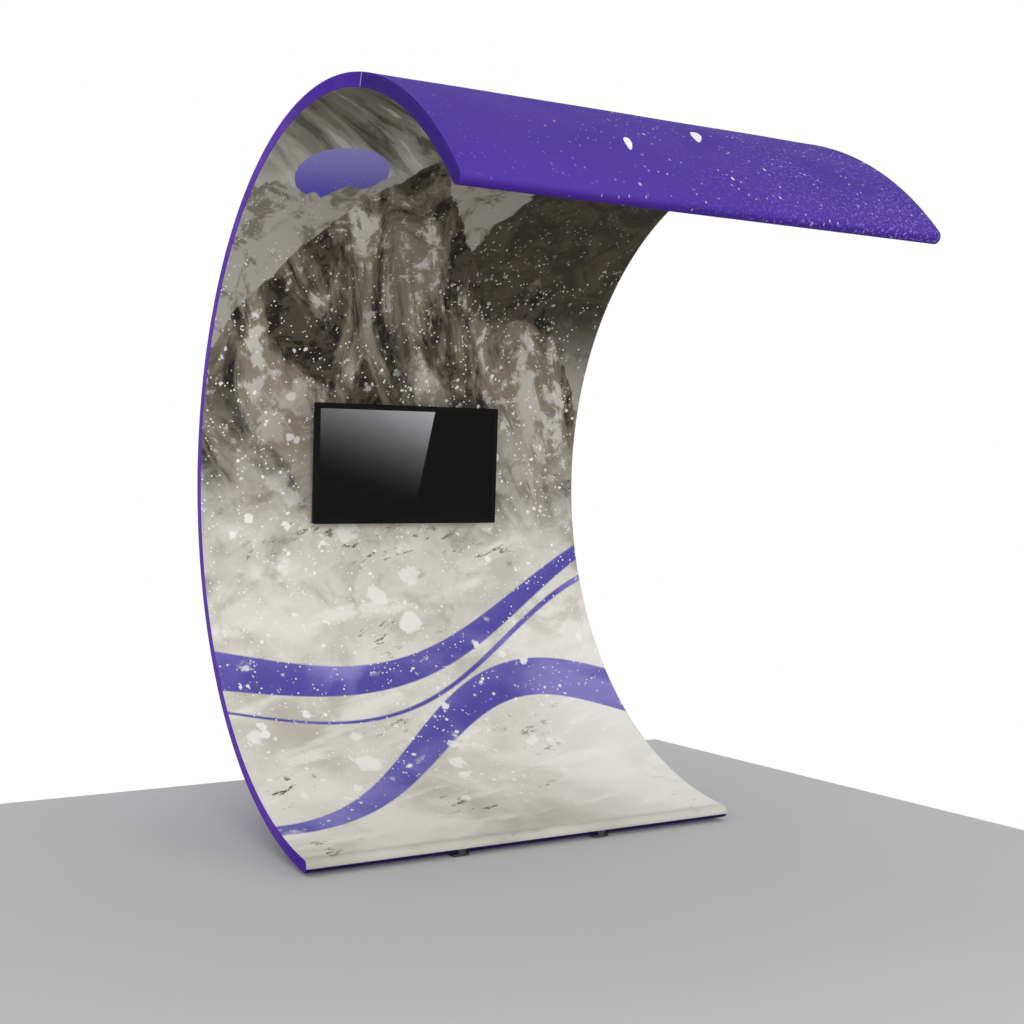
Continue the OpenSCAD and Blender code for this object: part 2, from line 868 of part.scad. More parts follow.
// Plate in front of the print, with two ears that hold the tilt pin.
module mount_plate() {
    color(colour_black)
        difference() {
            union() {
                translate([-plate_w / 2, plate_y, bar_pos[1] - plate_h / 2])
                    cube([plate_w, plate_t, plate_h]);
                for (x = [-ear_x - plate_t, ear_x])
                    translate([x, 0, 0])
                        tilt_ear(pin_stand + plate_t / 2);
            }
            translate([0, pin_y, bar_pos[1]])
                x_rod(pin_d / 2, 4 * ear_x);
            for (x = [-clamp_x, clamp_x], s = [-1, 1])
                translate([x, plate_y, bar_pos[1] + s * neck_bolt_z])
                    rotate([90, 0, 0])
                        cylinder(d = clamp_bolt_d + 0.4, h = 20, center = true);
        }
}

// Ear with a round end at the pin, reaching back by a length.
module tilt_ear(back) {
    translate([0, pin_y, bar_pos[1]])
        along_x(0, plate_t) {
            circle(r = ear_r);
            translate([0, -ear_r])
                square([back, 2 * ear_r]);
        }
}

// Pin through the ears, with a head on the left and the knob's thread on the right.
module tilt_pin() {
    head_t = 4;
    head_x = -ear_x - plate_t - head_t;
    end_x = knob_x + knob_h - 2;
    color(colour_steel)
        translate([0, pin_y, bar_pos[1]])
            rotate([0, 90, 0]) {
                translate([0, 0, head_x])
                    cylinder(d = pin_d, h = end_x - head_x);
                translate([0, 0, head_x])
                    cylinder(d = pin_d + 6, h = head_t);
            }
}

// Lobed knob that clamps the tilt, on the pin's right-hand end.
module tilt_knob() {
    lobes = 6;
    lobe_r = 2.6;
    grip_r = knob_d / 2 - lobe_r;
    collar_h = 3;
    color(colour_black)
        translate([knob_x, pin_y, bar_pos[1]])
            rotate([0, 90, 0])
                difference() {
                    union() {
                        cylinder(r = grip_r, h = knob_h);
                        for (i = [0:lobes - 1])
                            rotate([0, 0, 360 / lobes * i])
                                translate([grip_r, 0, collar_h])
                                    cylinder(r = lobe_r, h = knob_h - collar_h);
                    }
                    translate([0, 0, -1])
                        cylinder(r = pin_d / 2 + pin_fit, h = knob_h + 2);
                }
}

// Frame of the screen: x along the width, y from the front face backwards, z up.
module screen_frame() {
    translate([0, pin_y, bar_pos[1]])
        rotate([lean_deg, 0, 0])
            translate([0, -pin_depth, -screen_drop])
                children();
}

// Plate behind the screen with two ears that turn on the tilt pin.
module tilt_head() {
    ear_gap = 1;
    color(colour_black)
        screen_frame()
            difference() {
                union() {
                    translate([-head_w / 2, screen_t, -head_w / 2])
                        cube([head_w, plate_t, head_w]);
                    for (x = [-ear_x + ear_gap, ear_x - ear_gap - plate_t])
                        translate([0, pin_depth, screen_drop])
                            along_x(x, x + plate_t) {
                                circle(r = ear_r);
                                translate([-vesa_stand - plate_t / 2, -ear_r])
                                    square([vesa_stand + plate_t / 2, 2 * ear_r]);
                            }
                }
                translate([0, pin_depth, screen_drop])
                    x_rod(pin_d / 2 + pin_fit, 4 * ear_x);
                vesa_places()
                    rotate([90, 0, 0])
                        cylinder(d = 4.4, h = 20, center = true);
            }
}

// The four screw places on the tilt head's back.
module vesa_places() {
    for (x = [-1, 1], z = [-1, 1])
        translate([x * vesa_pitch / 2, screen_t + plate_t, z * vesa_pitch / 2])
            children();
}

module vesa_screws() {
    head_t = 2.4;
    color(colour_steel)
        screen_frame()
            vesa_places()
                translate([0, head_t, 0])
                    rotate([90, 0, 0])
                        bolt(4, head_t, plate_t + cover_wall + 4);
}

// Rounded rectangle (X, Z) of the given size.
module panel_2d(w, h, r) {
    translate([-w / 2 + r, -h / 2])
        square([w - 2 * r, h]);
    translate([-w / 2, -h / 2 + r])
        square([w, h - 2 * r]);
    for (x = [-1, 1], z = [-1, 1])
        translate([x * (w / 2 - r), z * (h / 2 - r)])
            circle(r = r);
}

// Extrudes an (X, Z) outline from depth y0 to y1 behind the screen's front.
module behind(y0, y1) {
    translate([0, y1, 0])
        rotate([90, 0, 0])
            linear_extrude(height = y1 - y0)
                children();
}

module screen_bezel() {
    color(colour_black)
        screen_frame()
            difference() {
                behind(0, bezel_t)
                    panel_2d(screen_w, screen_h, 6);
                behind(-1, lip_t + 1)
                    panel_2d(screen_w - 2 * bezel_w, screen_h - 2 * bezel_w, 1);
                behind(lip_t, bezel_t + 1)
                    panel_2d(screen_w - 2 * wall, screen_h - 2 * wall, 3);
                translate([button_slot[0] - button_size[0] / 2, button_slot[1] - button_size[1] / 2,
                    -screen_h / 2 - 1])
                    cube([button_size[0], button_size[1], wall + 2]);
            }
}

module screen_glass() {
    color([0.02, 0.02, 0.025])
        screen_frame()
            behind(lip_t, lip_t + glass_t)
                panel_2d(screen_w - 2 * wall - slack, screen_h - 2 * wall - slack, 3);
}

module screen_backlight() {
    color(colour_steel)
        screen_frame()
            behind(lip_t + glass_t, bezel_t)
                panel_2d(backlight_w, backlight_h, 3);
}

module screen_rear_cover() {
    tray_t = 4;
    vents = 13;
    color(colour_black)
        screen_frame()
            difference() {
                union() {
                    behind(bezel_t, bezel_t + tray_t)
                        panel_2d(screen_w, screen_h, 6);
                    behind(bezel_t, screen_t)
                        panel_2d(bulge_w, bulge_h, 12);
                }
                behind(bezel_t - 1, bezel_t + tray_t - cover_wall)
                    panel_2d(screen_w - 2 * wall, screen_h - 2 * wall, 3);
                behind(bezel_t - 1, screen_t - cover_wall)
                    panel_2d(bulge_w - 2 * cover_wall, bulge_h - 2 * cover_wall, 10);
                for (i = [0:vents - 1])
                    translate([(i - (vents - 1) / 2) * 16 - 2, bezel_t + tray_t + 4, 0])
                        cube([4, screen_t - bezel_t - tray_t - 10, bulge_h]);
                vesa_places()
                    rotate([90, 0, 0])
                        cylinder(d = 4, h = 20, center = true);
                translate([port_x, board_y + 2, -bulge_h / 2 - 1])
                    cube([port_w, port_t, 2 * cover_wall]);
            }
}

// Circuit boards on their posts, the port block and the power button's switch.
module screen_boards() {
    board = [300, 1.6, 150];
    parts = [[-120, 30, 60, 10], [-40, -30, 50, 14], [60, 20, 70, 8]];
    port_top = -bulge_h / 2 + 20;
    color([0.1, 0.3, 0.15])
        screen_frame() {
            translate([-board[0] / 2, board_y, -board[2] / 2])
                cube(board);
            for (x = [-1, 1], z = [-1, 1])
                translate([x * (board[0] / 2 - 10), board_y, z * (board[2] / 2 - 10)])
                    rotate([90, 0, 0])
                        cylinder(d = 8, h = board_y - bezel_t);
            for (p = parts)
                translate([p[0] - p[2] / 2, board_y + board[1], p[1] - 15])
                    cube([p[2], p[3], 30]);
            translate([port_x + slack, board_y + board[1] - 1, port_top - 1])
                cube([port_w - 2 * slack, 2, -board[2] / 2 - port_top + 2]);
            translate([port_x + slack, board_y + 2 + slack, -bulge_h / 2])
                cube([port_w - 2 * slack, port_t - 2 * slack, port_top + bulge_h / 2]);
            translate([button_slot[0] - switch_w / 2, lip_t + glass_t + 1, switch_z])
                cube([switch_w, bezel_t - lip_t - glass_t - 1, -backlight_h / 2 - switch_z]);
        }
}

module screen_speakers() {
    inset = cover_wall + slack + speaker_w / 2;
    low = -bulge_h / 2 + speaker_h / 2;
    color(colour_black)
        screen_frame()
            for (s = [-1, 1])
                translate([s * (bulge_w / 2 - inset) - speaker_w / 2, bezel_t, low])
                    cube([speaker_w, speaker_d, speaker_h]);
}

module power_button() {
    flange_w = button_size[0] + 4;
    play = 0.1;
    proud = 1.2;
    color(colour_steel)
        screen_frame()
            translate([button_slot[0], button_slot[1], -screen_h / 2]) {
                translate([-button_size[0] / 2 + play, -button_size[1] / 2 + play, -proud])
                    cube([button_size[0] - 2 * play, button_size[1] - 2 * play, proud + wall + 1]);
                translate([-flange_w / 2, -button_size[1] / 2 + play, wall + slack])
                    cube([flange_w, button_size[1] - 2 * play, button_flange_t]);
            }
}

for (s = [0, 1], i = [0:joint_count])
    rib(2 * s - 1, i);
for (s = [0, 1], i = [0:joint_count - 1])
    rib_button_frame(2 * s - 1, i)
            snap_button(tube_r);
for (i = [0:last_bar])
    cross_bar(i);
for (i = [0:last_bar])
    bar_button_frame(i)
            snap_button(bar_radii[i]);
corner_knuckles();
button_spring_legs();
print_panel();
outer_panel();
gusset_left();
gusset_right();
toe_hem();
zipper_tapes();
zipper_teeth();
zipper_slider();
zipper_pull();
foot_left();
foot_right();
foot_pads();
toe_saddles();
rear_posts();
foot_bolts();
foot_nuts();
bar_clamps();
clamp_caps();
mount_bolts();
mount_plate();
tilt_pin();
tilt_knob();
tilt_head();
vesa_screws();
screen_bezel();
screen_glass();
screen_backlight();
screen_rear_cover();
screen_boards();
screen_speakers();
power_button();
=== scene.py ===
"""Looks of the curved tension-fabric display.

The cover, its zipper and its stitches are made here, and the CAD parts get their finishes.
"""

import json
import math

import bpy
import bmesh
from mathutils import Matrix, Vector

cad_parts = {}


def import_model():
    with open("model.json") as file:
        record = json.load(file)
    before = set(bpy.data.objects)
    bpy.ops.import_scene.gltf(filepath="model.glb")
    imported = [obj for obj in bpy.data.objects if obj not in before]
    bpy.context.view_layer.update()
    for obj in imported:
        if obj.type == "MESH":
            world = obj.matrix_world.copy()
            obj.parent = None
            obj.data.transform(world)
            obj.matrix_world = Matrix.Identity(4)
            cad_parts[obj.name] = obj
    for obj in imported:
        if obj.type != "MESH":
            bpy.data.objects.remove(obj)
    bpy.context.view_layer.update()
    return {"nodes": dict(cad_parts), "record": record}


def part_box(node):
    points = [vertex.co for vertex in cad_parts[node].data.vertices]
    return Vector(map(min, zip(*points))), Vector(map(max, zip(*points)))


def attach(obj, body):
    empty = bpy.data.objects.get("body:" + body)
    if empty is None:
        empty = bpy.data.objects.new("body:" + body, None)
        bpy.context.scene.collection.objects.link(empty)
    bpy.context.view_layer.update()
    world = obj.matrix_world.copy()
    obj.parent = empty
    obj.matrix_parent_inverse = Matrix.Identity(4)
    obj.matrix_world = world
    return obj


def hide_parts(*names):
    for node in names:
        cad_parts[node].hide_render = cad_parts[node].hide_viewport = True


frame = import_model()

# The side curve, in metres and degrees, as part.scad has it.
CURVE_R = 1.107
HALF_T = 0.0204
TOE, NOSE, SEAM = -84.6, 140.8, 106.4
FLOOR_GAP = 0.01
CENTRE_Y = -CURVE_R * (1 + math.cos(math.radians(NOSE))) / 2
CENTRE_Z = FLOOR_GAP + HALF_T - CURVE_R * math.sin(math.radians(TOE))
SKIN_IN, SKIN_OUT = CURVE_R - HALF_T, CURVE_R + HALF_T
HALF_W = 0.762

# The cloth, its rounded edges, the print's wrap round the toe bar, the band under the nose.
FABRIC = 0.001
EDGE_R, SEAM_PINCH = 0.003, 0.0004
WRAP = 105
NOSE_BAND = 0.026
BAND_DEG = math.degrees(NOSE_BAND / CURVE_R)

# Openings for the feet, their rear posts, the screen's clamps and the zipper.
FOOT_X, FOOT_SLOT_W, FOOT_SLOT_DEPTH = 0.254, 0.028, 0.021
POST_DEG, POST_R, POST_PATCH = -50.0, 0.018, 0.036
BAR_DEG, CLAMP_X, CLAMP_SLIT_W, CLAMP_SLIT_H = 5.2, 0.092, 0.046, 0.040
ZIP_RISE, ZIP_INSET, ZIP_SLOT_HALF = 0.139, 0.06, 0.0045
ZIP_DEG = TOE + math.degrees(ZIP_RISE / CURVE_R)
ZIP_HALF = HALF_W - FABRIC - ZIP_INSET

# Lengths along the cloth.
RING_LEN = math.pi * HALF_T
OUTER_LEN = math.radians(NOSE - TOE) * SKIN_OUT
OUTER_ALL = OUTER_LEN + RING_LEN + NOSE_BAND
PRINT_LEN = math.radians(NOSE - BAND_DEG - TOE) * SKIN_IN
WRAP_LEN = math.radians(WRAP) * HALF_T
HEM_LEN = RING_LEN - WRAP_LEN
GUSSET_LEN = math.radians(NOSE - TOE) * CURVE_R
SEAM_S = math.radians(SEAM - TOE) * CURVE_R
BAR_S = math.radians(BAR_DEG - TOE) * SKIN_IN
POST_S = math.radians(POST_DEG - TOE) * SKIN_OUT
ZIP_S = math.radians(ZIP_DEG - TOE) * SKIN_OUT

# Mesh steps of the cloth, and the closer rows that draw the dip beside a seam.
ROW_STEP, COLUMN_STEP, FINE_STEP = 0.024, 0.03, 0.012
SEAM_STEPS = (0.0008, 0.0016, 0.0026, 0.004, 0.007)
TOE_ROWS, HEM_ROWS, HALF_TURN_ROWS = 20, 18, 24

glass_lo, glass_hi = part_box("screen_glass")
GLASS_Z = (glass_lo[2] + glass_hi[2]) / 2


# ---------------------------------------------------------------- shader nodes
class Val:
    """An output socket. Arithmetic on it adds Math nodes."""

    def __init__(self, graph, socket):
        self.graph, self.socket = graph, socket

    def __add__(self, other):
        return self.graph.math("ADD", self, other)

    def __sub__(self, other):
        return self.graph.math("SUBTRACT", self, other)

    def __mul__(self, other):
        return self.graph.math("MULTIPLY", self, other)

    def __truediv__(self, other):
        return self.graph.math("DIVIDE", self, other)

    def __rsub__(self, other):
        return self.graph.math("SUBTRACT", other, self)

    __radd__, __rmul__ = __add__, __mul__

    def __abs__(self):
        return self.graph.math("ABSOLUTE", self)

    def __pow__(self, other):
        return self.graph.math("POWER", self, other)

    def sin(self):
        return self.graph.math("SINE", self)

    def most(self, other):
        return self.graph.math("MAXIMUM", self, other)

    def sqrt(self):
        return self.graph.math("SQRT", self)

    def fit(self, lo, hi, a=0.0, b=1.0, smooth=True):
        """Maps lo to hi onto a to b, held at both ends."""
        kind = "SMOOTHSTEP" if smooth else "LINEAR"
        return self.graph.add("ShaderNodeMapRange", (self, lo, hi, a, b), interpolation_type=kind)


def add_node(tree, kind, inputs=(), **settings):
    """A new node: its settings first, then the values or links of its sockets."""
    node = tree.nodes.new(kind)
    for key, value in settings.items():
        setattr(node, key, value)
    for key, value in (inputs.items() if isinstance(inputs, dict) else enumerate(inputs)):
        if isinstance(value, Val):
            value = value.socket
        if isinstance(value, bpy.types.NodeSocket):
            tree.links.new(value, node.inputs[key])
        elif value is not None:
            node.inputs[key].default_value = value
    return node


class Graph:
    """The nodes of a material, or of the world."""

    def __init__(self, name, kept_in="materials"):
        self.owner = getattr(bpy.data, kept_in).new(name)
        self.owner.use_nodes = True
        self.tree = self.owner.node_tree
        self.tree.nodes.clear()

    def add(self, kind, inputs=(), out=0, **settings):
        return Val(self, add_node(self.tree, kind, inputs, **settings).outputs[out])

    def math(self, kind, *inputs, **settings):
        return self.add("ShaderNodeMath", inputs, operation=kind, **settings)

    def point(self, x, y, z=0.0):
        return self.add("ShaderNodeCombineXYZ", (x, y, z))

    def scaled(self, vector, scale):
        return self.add("ShaderNodeVectorMath", (vector, scale), operation="MULTIPLY")

    def shifted(self, vector, by):
        return self.add("ShaderNodeVectorMath", (vector, by), operation="ADD")

    def split(self, vector):
        node = add_node(self.tree, "ShaderNodeSeparateXYZ", (vector,))
        return [Val(self, socket) for socket in node.outputs]

    def uv(self):
        return self.add("ShaderNodeUVMap", uv_map="metres")

    def place(self):
        return self.add("ShaderNodeTexCoord", out="Object")

    def noise(self, vector, scale, detail=2.0, rough=0.5, twist=0.0):
        return self.add("ShaderNodeTexNoise", {
            "Vector": vector, "Scale": scale, "Detail": detail, "Roughness": rough,
            "Distortion": twist})

    def cells(self, vector, scale, randomness=1.0):
        return self.add("ShaderNodeTexVoronoi", {
            "Vector": vector, "Scale": scale, "Randomness": randomness}, out="Distance")

    def mix(self, a, b, factor):
        return self.add("ShaderNodeMix", {0: factor, 6: a, 7: b}, out=2, data_type="RGBA")

    def bump(self, height, distance, strength=1.0, normal=None):
        return self.add("ShaderNodeBump", {
            "Height": height, "Distance": distance, "Strength": strength, "Normal": normal})

    def finish(self, base, rough, metallic=0.0, normal=None, specular=0.5):
        """Ends the material in one surface and returns it."""
        surface = self.add("ShaderNodeBsdfPrincipled", {
            "Base Color": base, "Roughness": rough, "Metallic": metallic, "Normal": normal,
            "Specular IOR Level": specular})
        add_node(self.tree, "ShaderNodeOutputMaterial", (surface,))
        return self.owner


def srgb(r, g, b):
    """Linear colour of an 8 bit screen colour."""
    def line(c):
        c /= 255
        return c / 12.92 if c <= 0.04045 else ((c + 0.055) / 1.055) ** 2.4
    return (line(r), line(g), line(b), 1.0)


# ---------------------------------------------------------------- fabrics
def waves(along, pitch, push=None):
    """Swings between 0 and 1, once every pitch."""
    turn = along * (2 * math.pi / pitch)
    if push is not None:
        turn = turn + push
    return turn.sin() * 0.5 + 0.5


def knit(g, uv):
    """Height of a fine warp knit."""
    x, y, _ = g.split(uv)
    ribs = waves(x, 0.0011)
    return ribs * 0.6 + waves(y, 0.0014, ribs * 1.4) * 0.4


def pucker(g, uv, from_edge):
    """Height of the little gathers beside a seam."""
    gathers = g.noise(g.scaled(uv, (40.0, 55.0, 1.0)), 1.0, 1.0)
    return gathers * from_edge.fit(0.004, 0.035, 1.0, 0.0)


def fabric_finish(g, base, uv, from_edge):
    weave = g.bump(knit(g, uv), 0.00018, 0.55)
    normal = g.bump(pucker(g, uv, from_edge), 0.0011, 0.5, weave)
    return g.finish(base, 0.85, normal=normal, specular=0.12)


def band(v, centre, slope, half_w):
    """1 on a ribbon along v = centre, and the way across it. Its slope straightens its width."""
    soft = 0.004
    across = (v - centre) / (slope * slope + 1.0).sqrt()
    return abs(across).fit(half_w - soft, half_w + soft, 1.0, 0.0), across


def print_material():
    """A generic winter ground: drifts, powder, ridges, wind streaks, and violet ribbons."""
    g = Graph("printed_fabric")
    uv = g.uv()
    u, v, _ = g.split(uv)
    grain = g.noise(uv, 420.0, 1.0)
    cloud = g.noise(uv, 2.1, 6.0, 0.56, 0.3)
    puff = g.noise(g.shifted(uv, (7.0, 3.0, 0.0)), 5.5, 7.0, 0.62, 0.5)
    crag = g.noise(g.shifted(uv, (2.0, 9.0, 0.0)), 9.0, 8.0, 0.68, 0.8)

    # Snow, paler towards the floor, with drawn-out drifts.
    drift = g.noise(g.point(u * 1.4 + v * 0.8, v * 6.0 - u * 1.6), 1.6, 5.0, 0.5, 0.35)
    snow = g.mix(srgb(194, 191, 177), srgb(236, 234, 224), cloud.fit(0.34, 0.62))
    snow = g.mix(snow, srgb(245, 243, 236), drift.fit(0.5, 0.68) * 0.8)
    snow = g.mix(snow, srgb(160, 156, 142), puff.fit(0.53, 0.66) * v.fit(0.4, 1.3) * 0.5)
    chip = g.noise(g.point(u * 10.0 + v * 6.0, v * 26.0 - u * 10.0), 1.0, 6.0, 0.7)
    bare = g.noise(g.shifted(uv, (1.0, 6.0, 0.0)), 2.6, 2.0)
    snow = g.mix(snow, srgb(48, 45, 34), chip.fit(0.57, 0.62) * bare.fit(0.54, 0.62) * 0.92)
    snow = g.mix(snow, srgb(254, 253, 249), u.fit(0.0, 0.6) * v.fit(1.3, 0.7) * 0.7)

    # Sky, with thin wind-blown strokes that darken towards the crest.
    sky = g.mix(srgb(196, 194, 184), srgb(116, 112, 101), v.fit(2.4, 3.5))
    sky = g.mix(sky, srgb(214, 212, 203), cloud.fit(0.46, 0.7) * v.fit(3.6, 2.6) * 0.8)
    along, across = u * 0.72 - v * 0.69, u * 0.69 + v * 0.72
    stroke = g.noise(g.point(along * 1.6, across * 13.0), 1.0, 6.0, 0.6, 0.5)
    heavy = v.fit(2.7, 3.15) * u.fit(-0.74, -0.4, 0.5, 1.0)
    sky = g.mix(sky, srgb(82, 78, 66), stroke.fit(0.47, 0.55) * heavy * 0.9)
    sky = g.mix(sky, srgb(26, 24, 19), stroke.fit(0.55, 0.62) * heavy * 0.95)
    sky = g.mix(sky, srgb(222, 220, 211), stroke.fit(0.42, 0.36) * heavy * 0.7)

    # A violet disc that rises behind the far ridge.
    du, dv = u + 0.5, v - 2.86
    glow = g.mix(srgb(86, 76, 178), srgb(158, 150, 220), (dv * 3.0 + 0.45).fit(0.0, 1.0))
    sky = g.mix(sky, glow, (du * du + dv * dv).sqrt().fit(0.15, 0.154, 1.0, 0.0))

    # Far ridge, then a dark slope that leans in from the right.
    far = 2.92 + (g.noise(g.point(u * 2.3, 4.0), 1.0, 6.0, 0.6) - 0.5) * 0.7 + u * 0.25
    far_mask = (far - v).fit(0.0, 0.012)
    ground = g.mix(sky, g.mix(srgb(168, 165, 155), srgb(120, 116, 104), crag.fit(0.48, 0.6)),
                   far_mask)
    lean = u - 0.34 - (v - 3.3) * 0.34 + (puff - 0.5) * 0.16
    slope_mask = lean.fit(0.0, 0.012) * v.fit(1.95, 2.35)
    ground = g.mix(ground, g.mix(srgb(54, 50, 40), srgb(80, 75, 63), crag.fit(0.4, 0.62)),
                   slope_mask)

    # Near massif with lit and shaded faces, rock bands and snow in its gullies.
    peak = 3.02 - abs(u + 0.2) * 1.55
    shoulder = 2.5 - abs(u - 0.42) * 1.7
    top = peak.most(shoulder) + (g.noise(g.point(u * 3.1, 1.0), 1.0, 8.0, 0.66) - 0.5) * 0.42
    fall = top - v
    rib = g.noise(g.point(u * 5.2 + v * 2.1, v * 1.5 - u * 0.6), 1.0, 8.0, 0.68, 0.9)
    face = g.mix(srgb(74, 69, 58), srgb(136, 128, 112), rib.fit(0.42, 0.56))
    face = g.mix(face, srgb(24, 22, 18), (0.47 - rib).fit(0.0, 0.06) * crag.fit(0.44, 0.56))
    face = g.mix(face, srgb(206, 203, 195),
                 (rib * 0.6 + crag * 0.55).fit(0.6, 0.66) * fall.fit(0.0, 1.1, 1.0, 0.25))
    massif = fall.fit(0.0, 0.012) * (v + (puff - 0.5) * 1.5).fit(1.25, 1.85)
    ground = g.mix(ground, face, massif)

    # Spindrift at the massif's foot, and the snow in front.
    foot = (v + (cloud - 0.5) * 1.3 + (puff - 0.5) * 0.5).fit(1.1, 1.95, 1.0, 0.0)
    ground = g.mix(ground, snow, foot)

    # Two violet ribbons and a thin third one.
    deep, pale = srgb(88, 78, 168), srgb(150, 141, 212)
    tone = g.noise(g.point(u * 1.2, v * 1.2, 3.0), 2.2, 4.0, 0.5, 0.6)
    for mid, rise, rate, turn, wide, grow in (
        (0.56, 0.20, 3.3, 0.5, 0.062, 0.045), (1.08, 0.16, 2.7, -1.3, 0.05, -0.032),
        (0.93, 0.17, 2.9, -1.05, 0.008, 0.004),
    ):
        phase = u * rate + turn
        centre = phase.sin() * rise + mid + u * 0.22
        tilt = (phase + math.pi / 2).sin() * (rise * rate) + 0.22
        mask, way = band(v, centre, tilt, u * grow + wide)
        violet = g.mix(deep, pale, tone.fit(0.45, 0.72) * 0.8 + way.fit(-0.02, 0.08) * 0.2)
        ground = g.mix(ground, violet, mask)

    # Powder: soft clumps, then grains that thin out towards both ends.
    for scale, size, high, cut, strength in (
        (5.2, 0.24, 1.5, 0.5, 0.8), (11.0, 0.22, 1.9, 0.5, 0.9), (24.0, 0.2, 2.3, 0.49, 0.95),
        (58.0, 0.22, 2.6, 0.47, 0.95),
    ):
        at = g.shifted(uv, (scale, scale * 0.3, 0.0))
        fray = (g.noise(at, scale * 2.2, 5.0, 0.7) - 0.5) * 0.62
        dot = (g.cells(at, scale) + fray).fit(size * 0.7, size, 1.0, 0.0)
        keep = g.noise(at, scale * 0.16 + 1.0, 3.0, 0.6).fit(cut, cut + 0.06)
        zone = v.fit(0.05, 0.4) * v.fit(high + 0.5, high - 0.5)
        ground = g.mix(ground, srgb(250, 249, 245), dot * keep * zone * strength)

    # Painted shade towards the crest, the ink's grain, and painted shade that dulls the lit strip
    # round the toe bar.
    ground = g.mix(ground, srgb(84, 81, 74), v.fit(3.1, 4.0) * 0.42)
    ground = g.mix(ground, srgb(128, 126, 120), (grain - 0.5).fit(-0.2, 0.2, 0.1, 0.0))
    ground = g.mix(ground, srgb(158, 155, 143), v.fit(0.03, -0.02) * 0.55)
    return fabric_finish(g, ground, uv, HALF_W - abs(u))


def outer_material():
    """Violet cover with pale flecks, thicker towards the nose and the right."""
    g = Graph("purple_fabric")
    uv = g.uv()
    u, v, _ = g.split(uv)
    nose_front = OUTER_LEN + 0.03
    nose = nose_front - v
    mottle = g.noise(uv, 3.0, 4.0)
    base = g.mix(srgb(72, 50, 147), srgb(78, 55, 152), mottle.fit(0.35, 0.65))
    # Painted shade over the nose's front and the band under it.
    base = g.mix(base, srgb(58, 32, 128), nose.fit(0.022, -0.002) * 0.9)
    haze_at = g.noise(g.shifted(uv, (5.0, 0.0, 0.0)), 2.4, 3.0)
    side = u.fit(-0.35, 0.6) * nose.fit(0.85, 0.3)
    haze = g.noise(uv, 95.0, 2.0, 0.7).fit(0.5, 0.7) * haze_at.fit(0.36, 0.6) * side
    base = g.mix(base, srgb(146, 128, 210), haze * 0.7)
    for scale, size, cut, strength in ((11.0, 0.1, 0.56, 1.0), (27.0, 0.14, 0.5, 0.85),
                                       (60.0, 0.17, 0.46, 0.6)):
        at = g.point(u, v * 0.55, scale)
        dot = g.cells(at, scale)
        frayed = dot + (g.noise(at, scale * 2.2, 2.0) - 0.5) * 0.06
        keep = g.noise(g.shifted(at, (0.0, scale, 0.0)), scale * 0.2, 2.0).fit(cut, cut + 0.05)
        fleck = frayed.fit(size * 0.6, size, 1.0, 0.0) * keep
        zone = u.fit(-0.7, 0.2, 0.12, 1.0) * nose.fit(1.3, 0.5)
        base = g.mix(base, srgb(232, 228, 244), fleck * zone * strength)
    # Two long drops.
    for cu, cn, lean, long_r, wide_r in ((0.12, 0.40, 0.5, 0.075, 0.02),
                                         (-0.18, 0.27, 0.35, 0.045, 0.014)):
        du, dn = u - cu, nose - cn
        wobble = (g.noise(uv, 16.0, 3.0) - 0.5) * 0.9
        a, b = (dn + du * lean) / long_r, (du - dn * lean) / wide_r
        b = b / a.fit(-1.0, 1.0, 0.5, 1.25, smooth=False)
        shape = (a * a + b * b).sqrt() + wobble
        base = g.mix(base, srgb(240, 237, 248), shape.fit(0.86, 0.94, 1.0, 0.0))
    return fabric_finish(g, base, uv, HALF_W - abs(u))


def edge_material():
    """Violet end gussets: a painted highlight half-way up, and darker beyond the cross seam."""
    g = Graph("edge_fabric")
    uv = g.uv()
    x, y, _ = g.split(uv)
    tone = g.noise(uv, 6.0, 3.0)
    # A painted highlight: each gusset's middle is paler than its ends towards the crest and the
    # toe.
    ends = g.mix(srgb(70, 39, 156), srgb(80, 47, 166), tone.fit(0.3, 0.7))
    middle = g.mix(srgb(100, 63, 176), srgb(110, 71, 186), tone.fit(0.3, 0.7))
    base = g.mix(ends, middle, (SEAM_S - y).fit(0.25, 0.75) * y.fit(0.0, 0.42))
    base = g.mix(base, srgb(54, 32, 124), y.fit(SEAM_S - 0.0005, SEAM_S + 0.0005))
    return fabric_finish(g, base, uv, HALF_T - abs(x))


def hem_material():
    """Violet toe hem, painted near-black with shade below a violet line along the print."""
    g = Graph("hem_fabric")
    uv = g.uv()
    x, y, _ = g.split(uv)
    tone = g.noise(uv, 9.0, 3.0)
    # Painted shade: near-black violet over the hem, with its own violet kept in a line along the
    # print.
    base = g.mix(srgb(26, 15, 62), srgb(38, 22, 82), tone.fit(0.3, 0.7))
    base = g.mix(base, srgb(76, 46, 158), y.fit(0.005, 0.0035))
    return fabric_finish(g, base, uv, HALF_W - abs(x))


def seam_material():
    """Pale woven tape."""
    g = Graph("seam_tape")
    x, _, _ = g.split(g.uv())
    rib = waves(x, 0.0016)
    base = g.mix(srgb(158, 132, 214), srgb(188, 168, 232), rib)
    return g.finish(base, 0.8, specular=0.25, normal=g.bump(rib, 0.0003))


def tape_material():
    """Woven tape of the zipper."""
    g = Graph("zipper_tape")
    x, y, _ = g.split(g.uv())
    rib, weft = waves(y, 0.0012), waves(x, 0.0009)
    base = g.mix(srgb(30, 18, 72), srgb(52, 34, 108), rib)
    return g.finish(base, 0.85, specular=0.2, normal=g.bump(rib * 0.7 + weft * 0.3, 0.0003))


def thread_material(name, colour):
    """Twisted sewing thread."""
    g = Graph(name)
    twist = g.noise(g.place(), 900.0, 2.0)
    shade = (*(part * 0.55 for part in colour[:3]), 1.0)
    base = g.mix(colour, shade, twist.fit(0.35, 0.65))
    return g.finish(base, 0.6, specular=0.3, normal=g.bump(twist, 0.0002))


